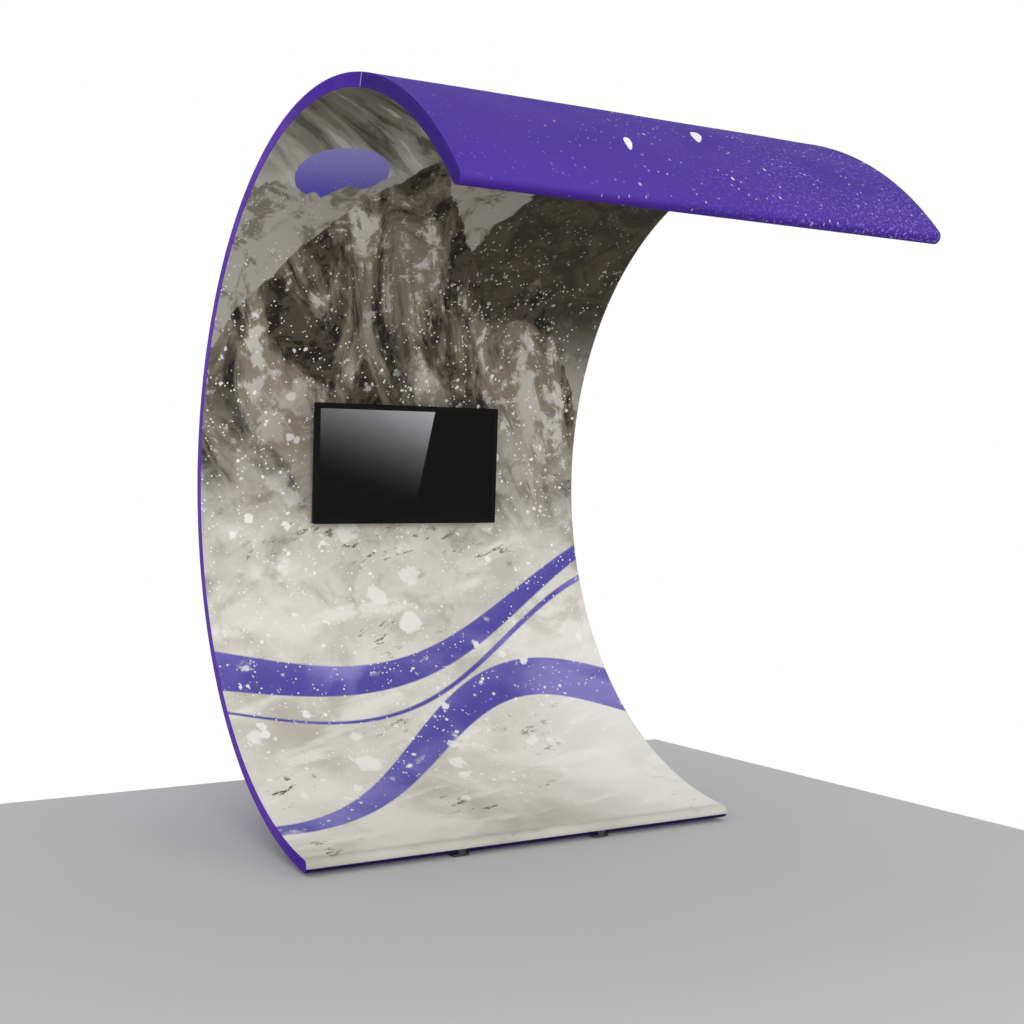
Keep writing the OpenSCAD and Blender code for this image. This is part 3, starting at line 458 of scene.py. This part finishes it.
# ---------------------------------------------------------------- hard finishes
def worn_metal(name, dark, light, rough, metallic, grain_scale, bump):
    """Metal with drawn or cast grain, smudges and brighter rubbed patches."""
    g = Graph(name)
    at = g.place()
    grain = g.noise(at, grain_scale, 4.0, 0.6)
    smudge = g.noise(at, 11.0, 3.0)
    base = g.mix(srgb(*dark), srgb(*light), (grain * 0.6 + smudge * 0.4).fit(0.35, 0.65))
    return g.finish(base, smudge.fit(0.3, 0.7, rough - 0.07, rough + 0.09), metallic=metallic,
                    normal=g.bump(grain, bump))


def coated(name, dark, light, rough, grain_scale, bump, specular=0.4):
    """Powder coat or moulded plastic: orange peel, dust and a little scuffing."""
    g = Graph(name)
    at = g.place()
    peel = g.noise(at, grain_scale, 3.0, 0.55)
    dust = g.noise(at, 7.0, 4.0, 0.6)
    scuff = g.noise(g.scaled(at, (1.0, 0.2, 3.0)), 55.0, 3.0, 0.7).fit(0.66, 0.74)
    base = g.mix(srgb(*dark), srgb(*light), dust.fit(0.4, 0.75) * 0.5 + scuff * 0.35)
    return g.finish(base, dust.fit(0.3, 0.7, rough - 0.06, rough + 0.08),
                    normal=g.bump(peel, bump), specular=specular)


def screen_material():
    """Dark glossy glass, whose left part carries a painted reflection of a soft grey window light
    that fades down.
    """
    g = Graph("screen_glass")
    at = g.place()
    x, _, z = g.split(at)
    z = z - GLASS_Z
    edge = (z + 0.143) * (0.070 / 0.341) + 0.035
    left = (edge - x).fit(-0.0012, 0.0012)
    rise = z - x.fit(-0.351, 0.09, -0.078, -0.207, smooth=False)
    fade = rise.fit(0.0, 0.40, smooth=False) ** 2.7
    near_edge = (edge - x).fit(0.0, 0.45, 1.0, 0.9)
    smear = g.noise(g.scaled(at, (3.0, 3.0, 9.0)), 2.0, 3.0)
    # The painted reflection: grey, left of a slanting edge and fading downwards.
    light = left * fade * near_edge
    base = g.mix(srgb(11, 11, 12), srgb(180, 180, 183), light * smear.fit(0.2, 0.8, 0.94, 1.06))
    return g.finish(base, smear.fit(0.3, 0.7, 0.16, 0.24), specular=0.07)


def board_material():
    g = Graph("circuit_board")
    at = g.place()
    trace = g.cells(g.scaled(at, (1.0, 0.2, 1.0)), 160.0, 0.4).fit(0.3, 0.42)
    part = g.noise(at, 60.0, 1.0).fit(0.52, 0.56)
    base = g.mix(srgb(16, 72, 38), srgb(34, 110, 60), trace)
    base = g.mix(base, srgb(24, 24, 26), part * 0.8)
    return g.finish(base, 0.42, normal=g.bump(trace, 0.0002))


def power_button_material():
    g = Graph("power_button_plastic")
    at = g.place()
    grain = g.noise(at, 1500.0, 2.0)
    base = g.mix(srgb(26, 26, 28), srgb(40, 40, 43), grain.fit(0.35, 0.65))
    return g.finish(base, 0.35, normal=g.bump(grain, 0.00005))


# Name, dark and light colour, roughness, metallic, scale of the grain and its height.
METALS = (
    ("tube", (176, 178, 181), (196, 198, 201), 0.34, 0.9, 900.0, 0.00002),
    ("cast_knuckle", (134, 136, 140), (172, 174, 178), 0.5, 0.85, 240.0, 0.0006),
    ("snap_button", (176, 177, 180), (214, 214, 216), 0.24, 1.0, 400.0, 0.0001),
    ("zipper_metal", (30, 30, 33), (84, 84, 88), 0.4, 0.7, 300.0, 0.0001),
    ("bolt_steel", (150, 152, 156), (192, 194, 198), 0.35, 1.0, 500.0, 0.0001),
)
# Name, dark and light colour, roughness, scale of the peel and its height, and for some the
# specular level.
COATS = (
    ("zipper_plastic", (34, 20, 74), (60, 42, 112), 0.5, 900.0, 0.0001),
    ("foot_steel", (42, 42, 44), (66, 66, 68), 0.55, 900.0, 0.0004),
    ("foot_rubber", (30, 30, 30), (52, 52, 51), 0.85, 700.0, 0.0004, 0.3),
    ("mount_steel", (24, 24, 25), (46, 46, 48), 0.55, 900.0, 0.0004),
    ("knob_plastic", (26, 26, 27), (44, 44, 46), 0.5, 1200.0, 0.0003),
    ("bezel_plastic", (9, 9, 10), (17, 17, 18), 0.42, 1800.0, 0.00004, 0.09),
    ("backlight_plastic", (186, 186, 188), (206, 206, 207), 0.5, 700.0, 0.0002),
    ("rear_cover_plastic", (28, 28, 29), (44, 44, 46), 0.6, 1400.0, 0.0003),
    ("speaker_plastic", (30, 30, 31), (46, 46, 48), 0.6, 1100.0, 0.0002),
)
FINISHES = {row[0]: worn_metal(*row) for row in METALS}
FINISHES.update((row[0], coated(*row)) for row in COATS)
FINISHES.update(screen_glass=screen_material(), circuit_board=board_material(),
                power_button_plastic=power_button_material())


# ---------------------------------------------------------------- cover's sheets
def marks(lo, hi, step, fixed=()):
    """Sorted values from lo to hi that include the fixed ones, at most a step apart."""
    stops = sorted({round(s, 7) for s in (lo, hi, *fixed) if lo - 1e-9 <= s <= hi + 1e-9})
    out = [stops[0]]
    for a, b in zip(stops, stops[1:]):
        n = max(1, math.ceil((b - a) / step - 1e-6))
        out += [a + (b - a) * k / n for k in range(1, n + 1)]
    return out


def at_angle(r, deg):
    a = math.radians(deg)
    return CENTRE_Y + r * math.cos(a), CENTRE_Z + r * math.sin(a)


def arc_rows(r, start, steps, s0=0.0, turn=1):
    """Rows (y, z, ny, nz, s) along the curve from an angle, at the distances in steps.

    Their normals point away from the tubes.
    """
    rows = []
    out = 1 if r > CURVE_R else -1
    for d in steps:
        deg = start + turn * math.degrees(d / r)
        y, z = at_angle(r, deg)
        a = math.radians(deg)
        rows.append((y, z, out * math.cos(a), out * math.sin(a), s0 + d))
    return rows


def ring_rows(deg, a0, a1, count, s0=0.0):
    """Rows round an end bar from local angle a0 to a1 in degrees."""
    cy, cz = at_angle(CURVE_R, deg)
    rows = []
    for k in range(count + 1):
        a = math.radians(a0 + (a1 - a0) * k / count)
        rows.append((cy + HALF_T * math.cos(a), cz + HALF_T * math.sin(a), math.cos(a),
                     math.sin(a), s0 + HALF_T * abs(a - math.radians(a0))))
    return rows


def rounded_edge(flat):
    """Columns (place, inset, n_out, n_up) that turn a sheet's edge down into its seam."""
    turned = []
    for deg in (12, 24, 35, 45):
        a = math.radians(deg)
        turned.append((flat + EDGE_R * math.sin(a), EDGE_R * (1 - math.cos(a)), math.sin(a),
                       math.cos(a)))
    place, inset, n_out, n_up = turned[-1]
    turned[-1] = (place - SEAM_PINCH, inset + SEAM_PINCH, n_out, n_up)
    return turned


def flat_columns(xs):
    return [(x, 0.0, 0.0, 1.0) for x in xs]


def full_width(fixed):
    """Columns over the width, one at each fixed x, rounded into both end seams."""
    flat = HALF_W - EDGE_R
    turned = rounded_edge(flat)
    left = [(-x, inset, -n_out, n_up) for x, inset, n_out, n_up in reversed(turned)]
    return left + flat_columns(marks(-flat, flat, COLUMN_STEP, fixed)) + turned


def both_sides(x, offsets):
    return [side * x + d for side in (-1, 1) for d in offsets]


def quad(i, j, m):
    """Corners of the face at row i and column j of a grid with m columns."""
    return i * m + j, i * m + j + 1, (i + 1) * m + j + 1, (i + 1) * m + j


def shell(faces, count):
    """A sheet's faces, their backs count points further on, and the walls round its rim."""
    edges = {}
    for face in faces:
        for a, b in zip(face, face[1:] + face[:1]):
            edges.setdefault(frozenset((a, b)), []).append((a, b))
    backs = [tuple(v + count for v in reversed(face)) for face in faces]
    rims = [uses[0] for uses in edges.values() if len(uses) == 1]
    return faces + backs + [(b, a, a + count, b + count) for a, b in rims]


def sheet(name, rows, cols, material, lift=None, hole=None, bend=None, thick=FABRIC):
    """Closed sheet of cloth over the rows and columns, one thickness deep towards the tubes.

    At a point (x, s), lift raises it off the tubes, bend moves it within the cloth, and hole
    leaves out the face.
    """
    uvs, outer, inner = [], [], []
    for y, z, ny, nz, s in rows:
        for x, inset, n_out, n_up in cols:
            px, ps = bend(x, s) if bend else (x, s)
            slip = ps - s
            up = (lift(px, ps) if lift else 0.0) - inset
            p = Vector((px, y - nz * slip + ny * up, z + ny * slip + nz * up))
            outer.append(p)
            inner.append(p - Vector((n_out, ny * n_up, nz * n_up)) * thick)
            uvs.append((px, ps))
    m = len(cols)
    faces = [quad(i, j, m) for i in range(len(rows) - 1) for j in range(m - 1)
             if not (hole and hole((cols[j][0] + cols[j + 1][0]) / 2,
                                   (rows[i][4] + rows[i + 1][4]) / 2))]
    return make_piece(name, outer + inner, shell(faces, len(outer)), material, uvs + uvs)


def make_piece(name, points, faces, material, uvs):
    """A smooth mesh that rides on the frame, with its flat places in metres as its UV map."""
    mesh = bpy.data.meshes.new(name)
    mesh.from_pydata([tuple(p) for p in points], [], faces)
    layer = mesh.uv_layers.new(name="metres")
    for loop in mesh.loops:
        layer.data[loop.index].uv = uvs[loop.vertex_index]
    bm = bmesh.new()
    bm.from_mesh(mesh)
    bmesh.ops.remove_doubles(bm, verts=bm.verts, dist=1e-6)
    loose = [v for v in bm.verts if not v.link_faces]
    bmesh.ops.delete(bm, geom=loose, context="VERTS")
    bmesh.ops.recalc_face_normals(bm, faces=bm.faces)
    bm.to_mesh(mesh)
    bm.free()
    for p in mesh.polygons:
        p.use_smooth = True
    mesh.set_sharp_from_angle(angle=math.radians(35))
    mesh.materials.append(material)
    obj = bpy.data.objects.new(name, mesh)
    bpy.context.scene.collection.objects.link(obj)
    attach(obj, "frame")
    return obj


def near(value, at, half):
    return abs(value - at) < half


def unit(value):
    return min(1.0, max(0.0, value))


def valley(d, depth=0.0005, width=0.0016):
    """How far a sheet dips into a seam that is a distance d away."""
    return -depth * math.exp(-(d / width) ** 2)


# The slack ends at this distance from the middle, and is full the blend further in.
SLACK_X, SLACK_BLEND = 0.715, 0.2


def billow(x, s, shift=0.0):
    """Slack of the stretched cloth between its edges, always away from the tubes.

    The shift moves its waves across.
    """
    slack, swing, ripple = 0.0011, 0.0007, 0.0002
    free = unit((SLACK_X - abs(x)) / SLACK_BLEND)
    free = free * free * (3 - 2 * free)
    x += shift
    wave = math.sin(x * 5.1 + math.sin(s * 1.3) * 1.4) * math.sin(s * 3.1 + x * 1.2)
    fine = math.sin(x * 13.0 - s * 4.0) * math.sin(s * 8.7 + 1.0)
    return free * (slack + swing * wave + ripple * fine)


# Print: its rows run from under the toe bar, round it and up the inner face.
toe_turn = ring_rows(TOE, TOE - 180 + WRAP, TOE - 180, TOE_ROWS, -WRAP_LEN)
beside_seam_x = [-0.75, 0.75]


def print_path(steps):
    return toe_turn[:-1] + arc_rows(SKIN_IN, TOE, steps)


def print_lift(x, s):
    calm = unit(s / 0.2)
    return calm * billow(x, s) + valley(s + WRAP_LEN) + valley(PRINT_LEN - s)


def print_hole(x, s):
    return near(abs(x), CLAMP_X, CLAMP_SLIT_W / 2) and near(s, BAR_S, CLAMP_SLIT_H / 2)


slit_xs = both_sides(CLAMP_X, (-CLAMP_SLIT_W / 2, CLAMP_SLIT_W / 2))
print_steps = marks(0, PRINT_LEN, ROW_STEP,
                    [*SEAM_STEPS, *(PRINT_LEN - d for d in SEAM_STEPS),
                     BAR_S - CLAMP_SLIT_H / 2, BAR_S + CLAMP_SLIT_H / 2])
print_panel = sheet("print_cover", print_path(print_steps), full_width(slit_xs + beside_seam_x),
                    print_material(), lift=print_lift, hole=print_hole)
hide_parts("print_panel")


# Outer panel: its rows run from the toe up the back, round the nose and under it.
def outer_path(steps, under_steps):
    return (arc_rows(SKIN_OUT, TOE, steps)
            + ring_rows(NOSE, NOSE, NOSE + 180, HALF_TURN_ROWS, OUTER_LEN)[1:]
            + arc_rows(SKIN_IN, NOSE, under_steps[1:], OUTER_LEN + RING_LEN, -1))


post_rs = POST_R / abs(math.sin(math.radians(POST_DEG)))


def round_hole(x, s):
    """Draws the grid round each rear post into an oval."""
    for side in (-1, 1):
        dx, ds = x - side * FOOT_X, s - POST_S
        ring = max(abs(dx), abs(ds)) / POST_PATCH
        if 1e-6 < ring < 1 - 1e-6:
            a = math.atan2(ds, dx)
            reach = 1 / math.hypot(math.cos(a) / POST_R, math.sin(a) / post_rs)
            now = math.hypot(dx, ds)
            square = now / ring
            want = reach + (square - reach) * (ring - 0.5) / 0.5 if ring > 0.499 else now
            k = want / now
            return side * FOOT_X + dx * k, POST_S + ds * k
    return x, s


def outer_hole(x, s):
    if near(s, ZIP_S, ZIP_SLOT_HALF) and abs(x) < ZIP_HALF:
        return True
    if s < FOOT_SLOT_DEPTH and near(abs(x), FOOT_X, FOOT_SLOT_W / 2):
        return True
    return near(abs(x), FOOT_X, POST_PATCH / 2) and near(s, POST_S, POST_PATCH / 2)


def outer_lift(x, s):
    calm = unit((OUTER_LEN - s) / 0.12) * unit(s / 0.3)
    return billow(x, s + 1.0, 0.4) * calm + valley(s) + valley(OUTER_ALL - s)


grid = [k * POST_PATCH / 8 for k in range(-8, 9)]
slot_xs = both_sides(FOOT_X, (-FOOT_SLOT_W / 2, FOOT_SLOT_W / 2))
outer_steps = marks(0, OUTER_LEN, ROW_STEP,
                    [*SEAM_STEPS, FOOT_SLOT_DEPTH, *(POST_S + d for d in grid),
                     *(ZIP_S + d for d in (-0.012, -ZIP_SLOT_HALF, ZIP_SLOT_HALF, 0.012))])
under_steps = marks(0, NOSE_BAND, 0.004, [NOSE_BAND - d for d in SEAM_STEPS])
outer_cols = full_width([*both_sides(FOOT_X, grid), *slot_xs, *beside_seam_x, -ZIP_HALF, ZIP_HALF])
outer_panel = sheet("outer_cover", outer_path(outer_steps, under_steps), outer_cols,
                    outer_material(), lift=outer_lift, hole=outer_hole, bend=round_hole)
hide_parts("outer_panel")

# Toe hem in three lengths, between the openings for the feet.
hem_rows = ring_rows(TOE, TOE, TOE - 180 + WRAP, HEM_ROWS)
hem_cols = full_width(slot_xs)
hem_ends = [-HALF_W, *slot_xs, HALF_W]
mat_hem = hem_material()
for name, x0, x1 in zip(("left", "middle", "right"), hem_ends[::2], hem_ends[1::2]):
    piece = sheet(f"toe_hem_{name}", hem_rows,
                  [c for c in hem_cols if x0 - 1e-6 <= c[0] <= x1 + 1e-6], mat_hem,
                  lift=lambda x, s: valley(s) + valley(HEM_LEN - s))
    x1 - x0
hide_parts("toe_hem")

mat_edge, mat_seam = edge_material(), seam_material()


def seam_strip(side, name):
    """Pale woven tape that covers a gusset's cross seam."""
    half, rise, foot, step = 0.0022, 0.0005, 0.00005, 0.0018
    profile = [(-half, foot), (-half * 0.8, rise * 0.8), (0.0, rise), (half * 0.8, rise * 0.8),
               (half, foot)]
    cs = marks(-HALF_T + step, HALF_T - step, step)
    points, uvs = [], []
    for c in cs:
        for t, up in profile:
            a = math.radians(SEAM) + t / CURVE_R
            y, z = at_angle(CURVE_R + c, math.degrees(a))
            over = max(0.0, abs(c) - (HALF_T - EDGE_R))
            drop = EDGE_R - math.sqrt(max(0.0, EDGE_R ** 2 - over ** 2))
            points.append((side * (HALF_W + up - drop), y, z))
            uvs.append((c, t))
    m = len(profile)
    faces = []
    for i in range(len(cs) - 1):
        faces += [quad(i, j, m) for j in range(m - 1)]
        faces.append((i * m, (i + 1) * m, (i + 1) * m + m - 1, i * m + m - 1))
    faces.append(tuple(range(m)))
    faces.append(tuple(reversed(range((len(cs) - 1) * m, len(cs) * m))))
    piece = make_piece(f"cross_seam_{name}", points, faces, mat_seam, uvs)
    return piece


def gusset(side):
    """End gusset: its columns cross the strip, and each end is a fan round an end bar."""
    flat = HALF_T - EDGE_R
    half = flat_columns(marks(0, flat, 0.0045)) + rounded_edge(flat)
    cols = [(-c, inset, -n_out, n_up) for c, inset, n_out, n_up in reversed(half[1:])] + half
    points, backs, uvs, faces = [], [], [], []

    def put(y, z, wy, wz, col, s, u):
        c, inset, n_out, n_up = col
        dip = valley(s - SEAM_S, 0.0006, 0.0018) - inset
        p = Vector((side * (HALF_W + dip), y + wy * c, z + wz * c))
        points.append(p)
        backs.append(p - Vector((side * n_up, wy * n_out, wz * n_out)) * FABRIC)
        uvs.append((u, s))
        return len(points) - 1

    def join(rows):
        for a, b in zip(rows, rows[1:]):
            faces.extend((a[j], a[j + 1], b[j + 1], b[j]) for j in range(len(a) - 1))

    rows = []
    for s in marks(0, GUSSET_LEN, ROW_STEP,
                   [SEAM_S + d for d in (-0.006, -0.003, -0.0015, 0, 0.0015, 0.003, 0.006)]):
        a = math.radians(TOE) + s / CURVE_R
        y, z = at_angle(CURVE_R, math.degrees(a))
        rows.append([put(y, z, math.cos(a), math.sin(a), c, s, c[0]) for c in cols])
    join(rows)
    for deg, turn, end in ((NOSE, 1, GUSSET_LEN), (TOE, -1, 0)):
        cy, cz = at_angle(CURVE_R, deg)
        rows = []
        for k in range(HALF_TURN_ROWS + 1):
            swing = math.pi * k / HALF_TURN_ROWS
            a = math.radians(deg) + turn * swing
            rows.append([put(cy, cz, math.cos(a), math.sin(a), c,
                             end + turn * c[0] * math.sin(swing), c[0] * math.cos(swing))
                         for c in half])
        join(rows)
    # Weld the fans to the strip before the walls are made.
    merged, index, keep = {}, [], []
    for i, p in enumerate(points):
        key = tuple(round(v, 6) for v in p)
        if key not in merged:
            merged[key] = len(keep)
            keep.append(i)
        index.append(merged[key])
    faces = [tuple(dict.fromkeys(index[v] for v in f)) for f in faces]
    faces = [f for f in faces if len(f) > 2]
    name = "left" if side < 0 else "right"
    piece = make_piece(f"end_gusset_{name}", [points[i] for i in keep] + [backs[i] for i in keep],
                       shell(faces, len(keep)), mat_edge, [uvs[i] for i in keep] * 2)
    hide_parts(f"gusset_{name}")
    seam_strip(side, name)


gusset(-1)
gusset(1)


# ---------------------------------------------------------------- stitches and teeth
def bead_nodes(name, material, facets):
    """Geometry Nodes that lay a bead every pitch along each edge line, flat on its normal.

    Returns the tree and the identifiers of its inputs Pitch and Bead size.
    """
    tree = bpy.data.node_groups.new(name, "GeometryNodeTree")
    tree.interface.new_socket("Geometry", in_out="INPUT", socket_type="NodeSocketGeometry")
    sizes = [tree.interface.new_socket(label, in_out="INPUT", socket_type=kind).identifier
             for label, kind in (("Pitch", "NodeSocketFloat"), ("Bead size", "NodeSocketVector"))]
    tree.interface.new_socket("Geometry", in_out="OUTPUT", socket_type="NodeSocketGeometry")

    def add(kind, inputs=(), **settings):
        return add_node(tree, kind, inputs, **settings).outputs[0]

    source = add_node(tree, "NodeGroupInput").outputs
    curve = add("GeometryNodeMeshToCurve", {"Mesh": source[0]})
    points = add("GeometryNodeResampleCurve", {"Curve": curve, "Length": source["Pitch"]},
                 mode="LENGTH")
    normal = add("GeometryNodeInputNamedAttribute", {"Name": "out"}, data_type="FLOAT_VECTOR")
    stand = add("FunctionNodeAlignRotationToVector", {"Vector": normal}, axis="Z")
    turn = add("FunctionNodeAlignRotationToVector",
               {"Rotation": stand, "Vector": add("GeometryNodeInputTangent")}, axis="X",
               pivot_axis="Z")
    ball = add("GeometryNodeMeshUVSphere", {"Segments": facets[0], "Rings": facets[1],
                                            "Radius": 0.5})
    bead = add("GeometryNodeTransform", {"Geometry": ball, "Scale": source["Bead size"]})
    laid = add("GeometryNodeInstanceOnPoints", {"Points": points, "Instance": bead,
                                                "Rotation": turn})
    real = add("GeometryNodeRealizeInstances", {"Geometry": laid})
    done = add("GeometryNodeSetMaterial", {"Geometry": real, "Material": material})
    add_node(tree, "NodeGroupOutput", (done,))
    return tree, sizes


def beads(name, lines, pitch, size, material, facets=(5, 4)):
    """One plain mesh of beads along lines of (point, normal)."""
    mesh = bpy.data.meshes.new(name)
    points, edges, normals = [], [], []
    for line in lines:
        for k, (p, n) in enumerate(line):
            if k:
                edges.append((len(points) - 1, len(points)))
            points.append(tuple(p))
            normals.append(tuple(n))
    mesh.from_pydata(points, edges, [])
    out = mesh.attributes.new("out", "FLOAT_VECTOR", "POINT")
    for item, n in zip(out.data, normals):
        item.vector = n
    obj = bpy.data.objects.new(name, mesh)
    bpy.context.scene.collection.objects.link(obj)
    modifier = obj.modifiers.new("beads", "NODES")
    modifier.node_group, (pitch_input, size_input) = bead_nodes(name, material, facets)
    modifier[pitch_input], modifier[size_input] = pitch, size
    shown = obj.evaluated_get(bpy.context.evaluated_depsgraph_get())
    plain = bpy.data.meshes.new_from_object(shown)
    obj.modifiers.clear()
    obj.data = plain
    plain.name = name
    for p in plain.polygons:
        p.use_smooth = True
    if not plain.materials:
        plain.materials.append(material)
    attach(obj, "frame")
    return obj


# A stitch and its spacing, how far it stands off the cloth, and its distance from a side
# seam, from an end seam and from a line's end.
STITCH, PITCH = (0.0031, 0.0007, 0.0005), 0.0042
STAND = 0.00015
SIDE_SEW, END_SEW, LINE_END = 0.0065, 0.005, 0.004
SIDE_X = HALF_W - SIDE_SEW


def row_at(r, s):
    return arc_rows(r, TOE, [s])[0]


def on_cloth(row, x, up):
    """A point above a row at x, and the cloth's normal there."""
    y, z, ny, nz, _ = row
    return Vector((x, y + ny * up, z + nz * up)), Vector((0, ny, nz))


def side_lines(rows, lowest, highest):
    """A line up the curve beside each side seam, between two distances."""
    kept = [row for row in rows if lowest - 1e-9 <= row[4] <= highest + 1e-9]
    return [[on_cloth(row, side * SIDE_X, STAND) for row in kept] for side in (-1, 1)]


def cross_line(row, x0, x1, lift=None, stand=STAND):
    """A line across the cloth on one row."""
    return [on_cloth(row, x, (lift(x, row[4]) if lift else 0.0) + stand)
            for x in marks(x0, x1, 0.01)]


thread_pale = thread_material("thread_pale", srgb(176, 172, 162))
thread_violet = thread_material("thread_violet", srgb(104, 84, 186))
print_lines = side_lines(print_path(marks(0, PRINT_LEN, FINE_STEP)), LINE_END - WRAP_LEN,
                         PRINT_LEN - LINE_END)
print_lines += [cross_line(row, -SIDE_X, SIDE_X)
                for row in (toe_turn[3], row_at(SKIN_IN, PRINT_LEN - END_SEW))]
beads("stitches_print", print_lines, PITCH, STITCH, thread_pale)

outer_lines = side_lines(outer_path(marks(0, OUTER_LEN, FINE_STEP),
                                    marks(0, NOSE_BAND - LINE_END, 0.006)), LINE_END, OUTER_ALL)
past_slot, beside_zip = 0.017, 0.0085
toe_ends = [-SIDE_X, *both_sides(FOOT_X, (-past_slot, past_slot)), SIDE_X]
for x0, x1 in zip(toe_ends[::2], toe_ends[1::2]):
    outer_lines.append(cross_line(row_at(SKIN_OUT, END_SEW), x0, x1))
for d in (-beside_zip, beside_zip):
    outer_lines.append(cross_line(row_at(SKIN_OUT, ZIP_S + d), -ZIP_HALF - LINE_END,
                                  ZIP_HALF + LINE_END, outer_lift))
under_row = arc_rows(SKIN_IN, NOSE, [NOSE_BAND - END_SEW], turn=-1)[0]
outer_lines.append(cross_line(under_row, -SIDE_X, SIDE_X))
beads("stitches_outer", outer_lines, PITCH, STITCH, thread_violet)


def rim_line(side, past=0.005, count=48):
    """A line round the opening for a rear post."""
    line = []
    for k in range(count + 1):
        a = 2 * math.pi * k / count
        x = side * FOOT_X + (POST_R + past) * math.cos(a)
        s = POST_S + (post_rs + past) * math.sin(a)
        line.append(on_cloth(row_at(SKIN_OUT, s), x, outer_lift(x, s) + STAND))
    return line


beads("stitches_post_openings", [rim_line(-1), rim_line(1)], 0.0036, (0.0026, 0.0007, 0.0005),
      thread_violet)


def gusset_line(side, c, stand=0.00012):
    """A line along a gusset, a distance c from its middle."""
    line = []
    for s in marks(0, GUSSET_LEN, FINE_STEP):
        a = math.radians(TOE) + s / CURVE_R
        y, z = at_angle(CURVE_R + c, math.degrees(a))
        line.append((Vector((side * (HALF_W + stand), y, z)), Vector((side, 0, 0))))
    return line


gusset_sew = HALF_T - 0.0062
beads("stitches_gussets", [gusset_line(side, c) for side in (-1, 1)
                           for c in (-gusset_sew, gusset_sew)],
      PITCH, STITCH, thread_violet)


# Zipper: tapes behind the slot, each from near its middle outwards, and a coil of teeth.
mat_tape = tape_material()
tape_r = SKIN_OUT - FABRIC - 0.0001
TAPE_NEAR, TAPE_FAR, TAPE_OVER, TAPE_THICK = 0.0008, 0.015, 0.006, 0.0006
for side, name in ((-1, "low"), (1, "high")):
    a, b = sorted((ZIP_S + side * TAPE_NEAR, ZIP_S + side * TAPE_FAR))
    rows = [row_at(tape_r, s * tape_r / SKIN_OUT) for s in marks(a, b, 0.0025)]
    piece = sheet(f"zipper_tape_{name}", rows,
                  flat_columns(marks(-ZIP_HALF - TAPE_OVER, ZIP_HALF + TAPE_OVER, 0.02)),
                  mat_tape, thick=TAPE_THICK)
    b - a
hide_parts("zipper_tapes")

TOOTH, TOOTH_PITCH, TEETH_APART, TEETH_INSET = (0.0009, 0.0036, 0.0019), 0.0012, 0.0011, 0.003
teeth_lines = []
for side, shift in ((-1, 0.0), (1, TOOTH_PITCH / 2)):
    row = row_at(SKIN_OUT, ZIP_S + side * TEETH_APART)
    teeth_lines.append(cross_line(row, -ZIP_HALF + TEETH_INSET + shift,
                                  ZIP_HALF - TEETH_INSET + shift, stand=0.0002))
teeth = beads("zipper_coil", teeth_lines, TOOTH_PITCH, TOOTH, FINISHES["zipper_plastic"],
              facets=(6, 5))
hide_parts("zipper_teeth")

# ---------------------------------------------------------------- finishes of the CAD parts
for part in frame["record"]["subparts"]:
    finish = FINISHES.get(part["material_slot"])
    if finish:
        for held in frame["nodes"][part["node"]].material_slots:
            held.material = finish


# ---------------------------------------------------------------- stage, light and camera
def stage_floor():
    x0, x1, y0, y1, low = -5.2, 1.525, -5.2, 1.462, -0.03
    corners = [(x, y, z) for z in (0, low) for x, y in ((x0, y0), (x1, y0), (x1, y1), (x0, y1))]
    mesh = bpy.data.meshes.new("stage_floor")
    mesh.from_pydata(corners, [], [(0, 1, 2, 3), (4, 7, 6, 5), (0, 4, 5, 1), (1, 5, 6, 2),
                                   (2, 6, 7, 3), (3, 7, 4, 0)])
    g = Graph("stage_floor")
    cloud = g.noise(g.place(), 1.2, 3.0)
    base = g.mix(srgb(204, 204, 204), srgb(210, 210, 210), cloud)
    mesh.materials.append(g.finish(base, 0.9, specular=0.1))
    obj = bpy.data.objects.new("stage_floor", mesh)
    bpy.context.scene.collection.objects.link(obj)


def light(name, where, look_at, size, power):
    lamp = bpy.data.lights.new(name, "AREA")
    lamp.energy, lamp.size = power, size
    obj = bpy.data.objects.new(name, lamp)
    obj.location = where
    obj.rotation_mode = "QUATERNION"
    obj.rotation_quaternion = (Vector(look_at) - Vector(where)).to_track_quat("-Z", "Y")
    bpy.context.scene.collection.objects.link(obj)


def world(strength):
    """Soft light on the object, and plain white for the camera, reflections and glass."""
    g = Graph("studio", "worlds")
    rays = add_node(g.tree, "ShaderNodeLightPath").outputs
    seen = g.math("ADD", rays["Is Camera Ray"], rays["Is Glossy Ray"], use_clamp=True)
    clear = g.math("ADD", seen, rays["Is Transmission Ray"], use_clamp=True)
    soft, white = (g.add("ShaderNodeBackground", ((1, 1, 1, 1), level))
                   for level in (strength, 1.0))
    both = g.add("ShaderNodeMixShader", (clear, soft, white))
    add_node(g.tree, "ShaderNodeOutputWorld", (both,))
    bpy.context.scene.world = g.owner


stage_floor()
world(0.62)
light("key", (-3.2, -8.4, 2.4), (0, 0.4, 1.0), 5.0, 480)
light("top", (2.0, 1.0, 7.5), (0.0, 0.0, 1.0), 5.0, 40)

camera_data = bpy.data.cameras.new("camera")
camera_data.lens, camera_data.sensor_width = 50, 36
camera = bpy.data.objects.new("camera", camera_data)
camera.location = (-2.2606, -3.8938, 1.0747)
camera.rotation_euler = (math.radians(89.723), 0, math.radians(-29.5))
bpy.context.scene.collection.objects.link(camera)
bpy.context.scene.camera = camera
bpy.context.scene.view_settings.view_transform = "Standard"
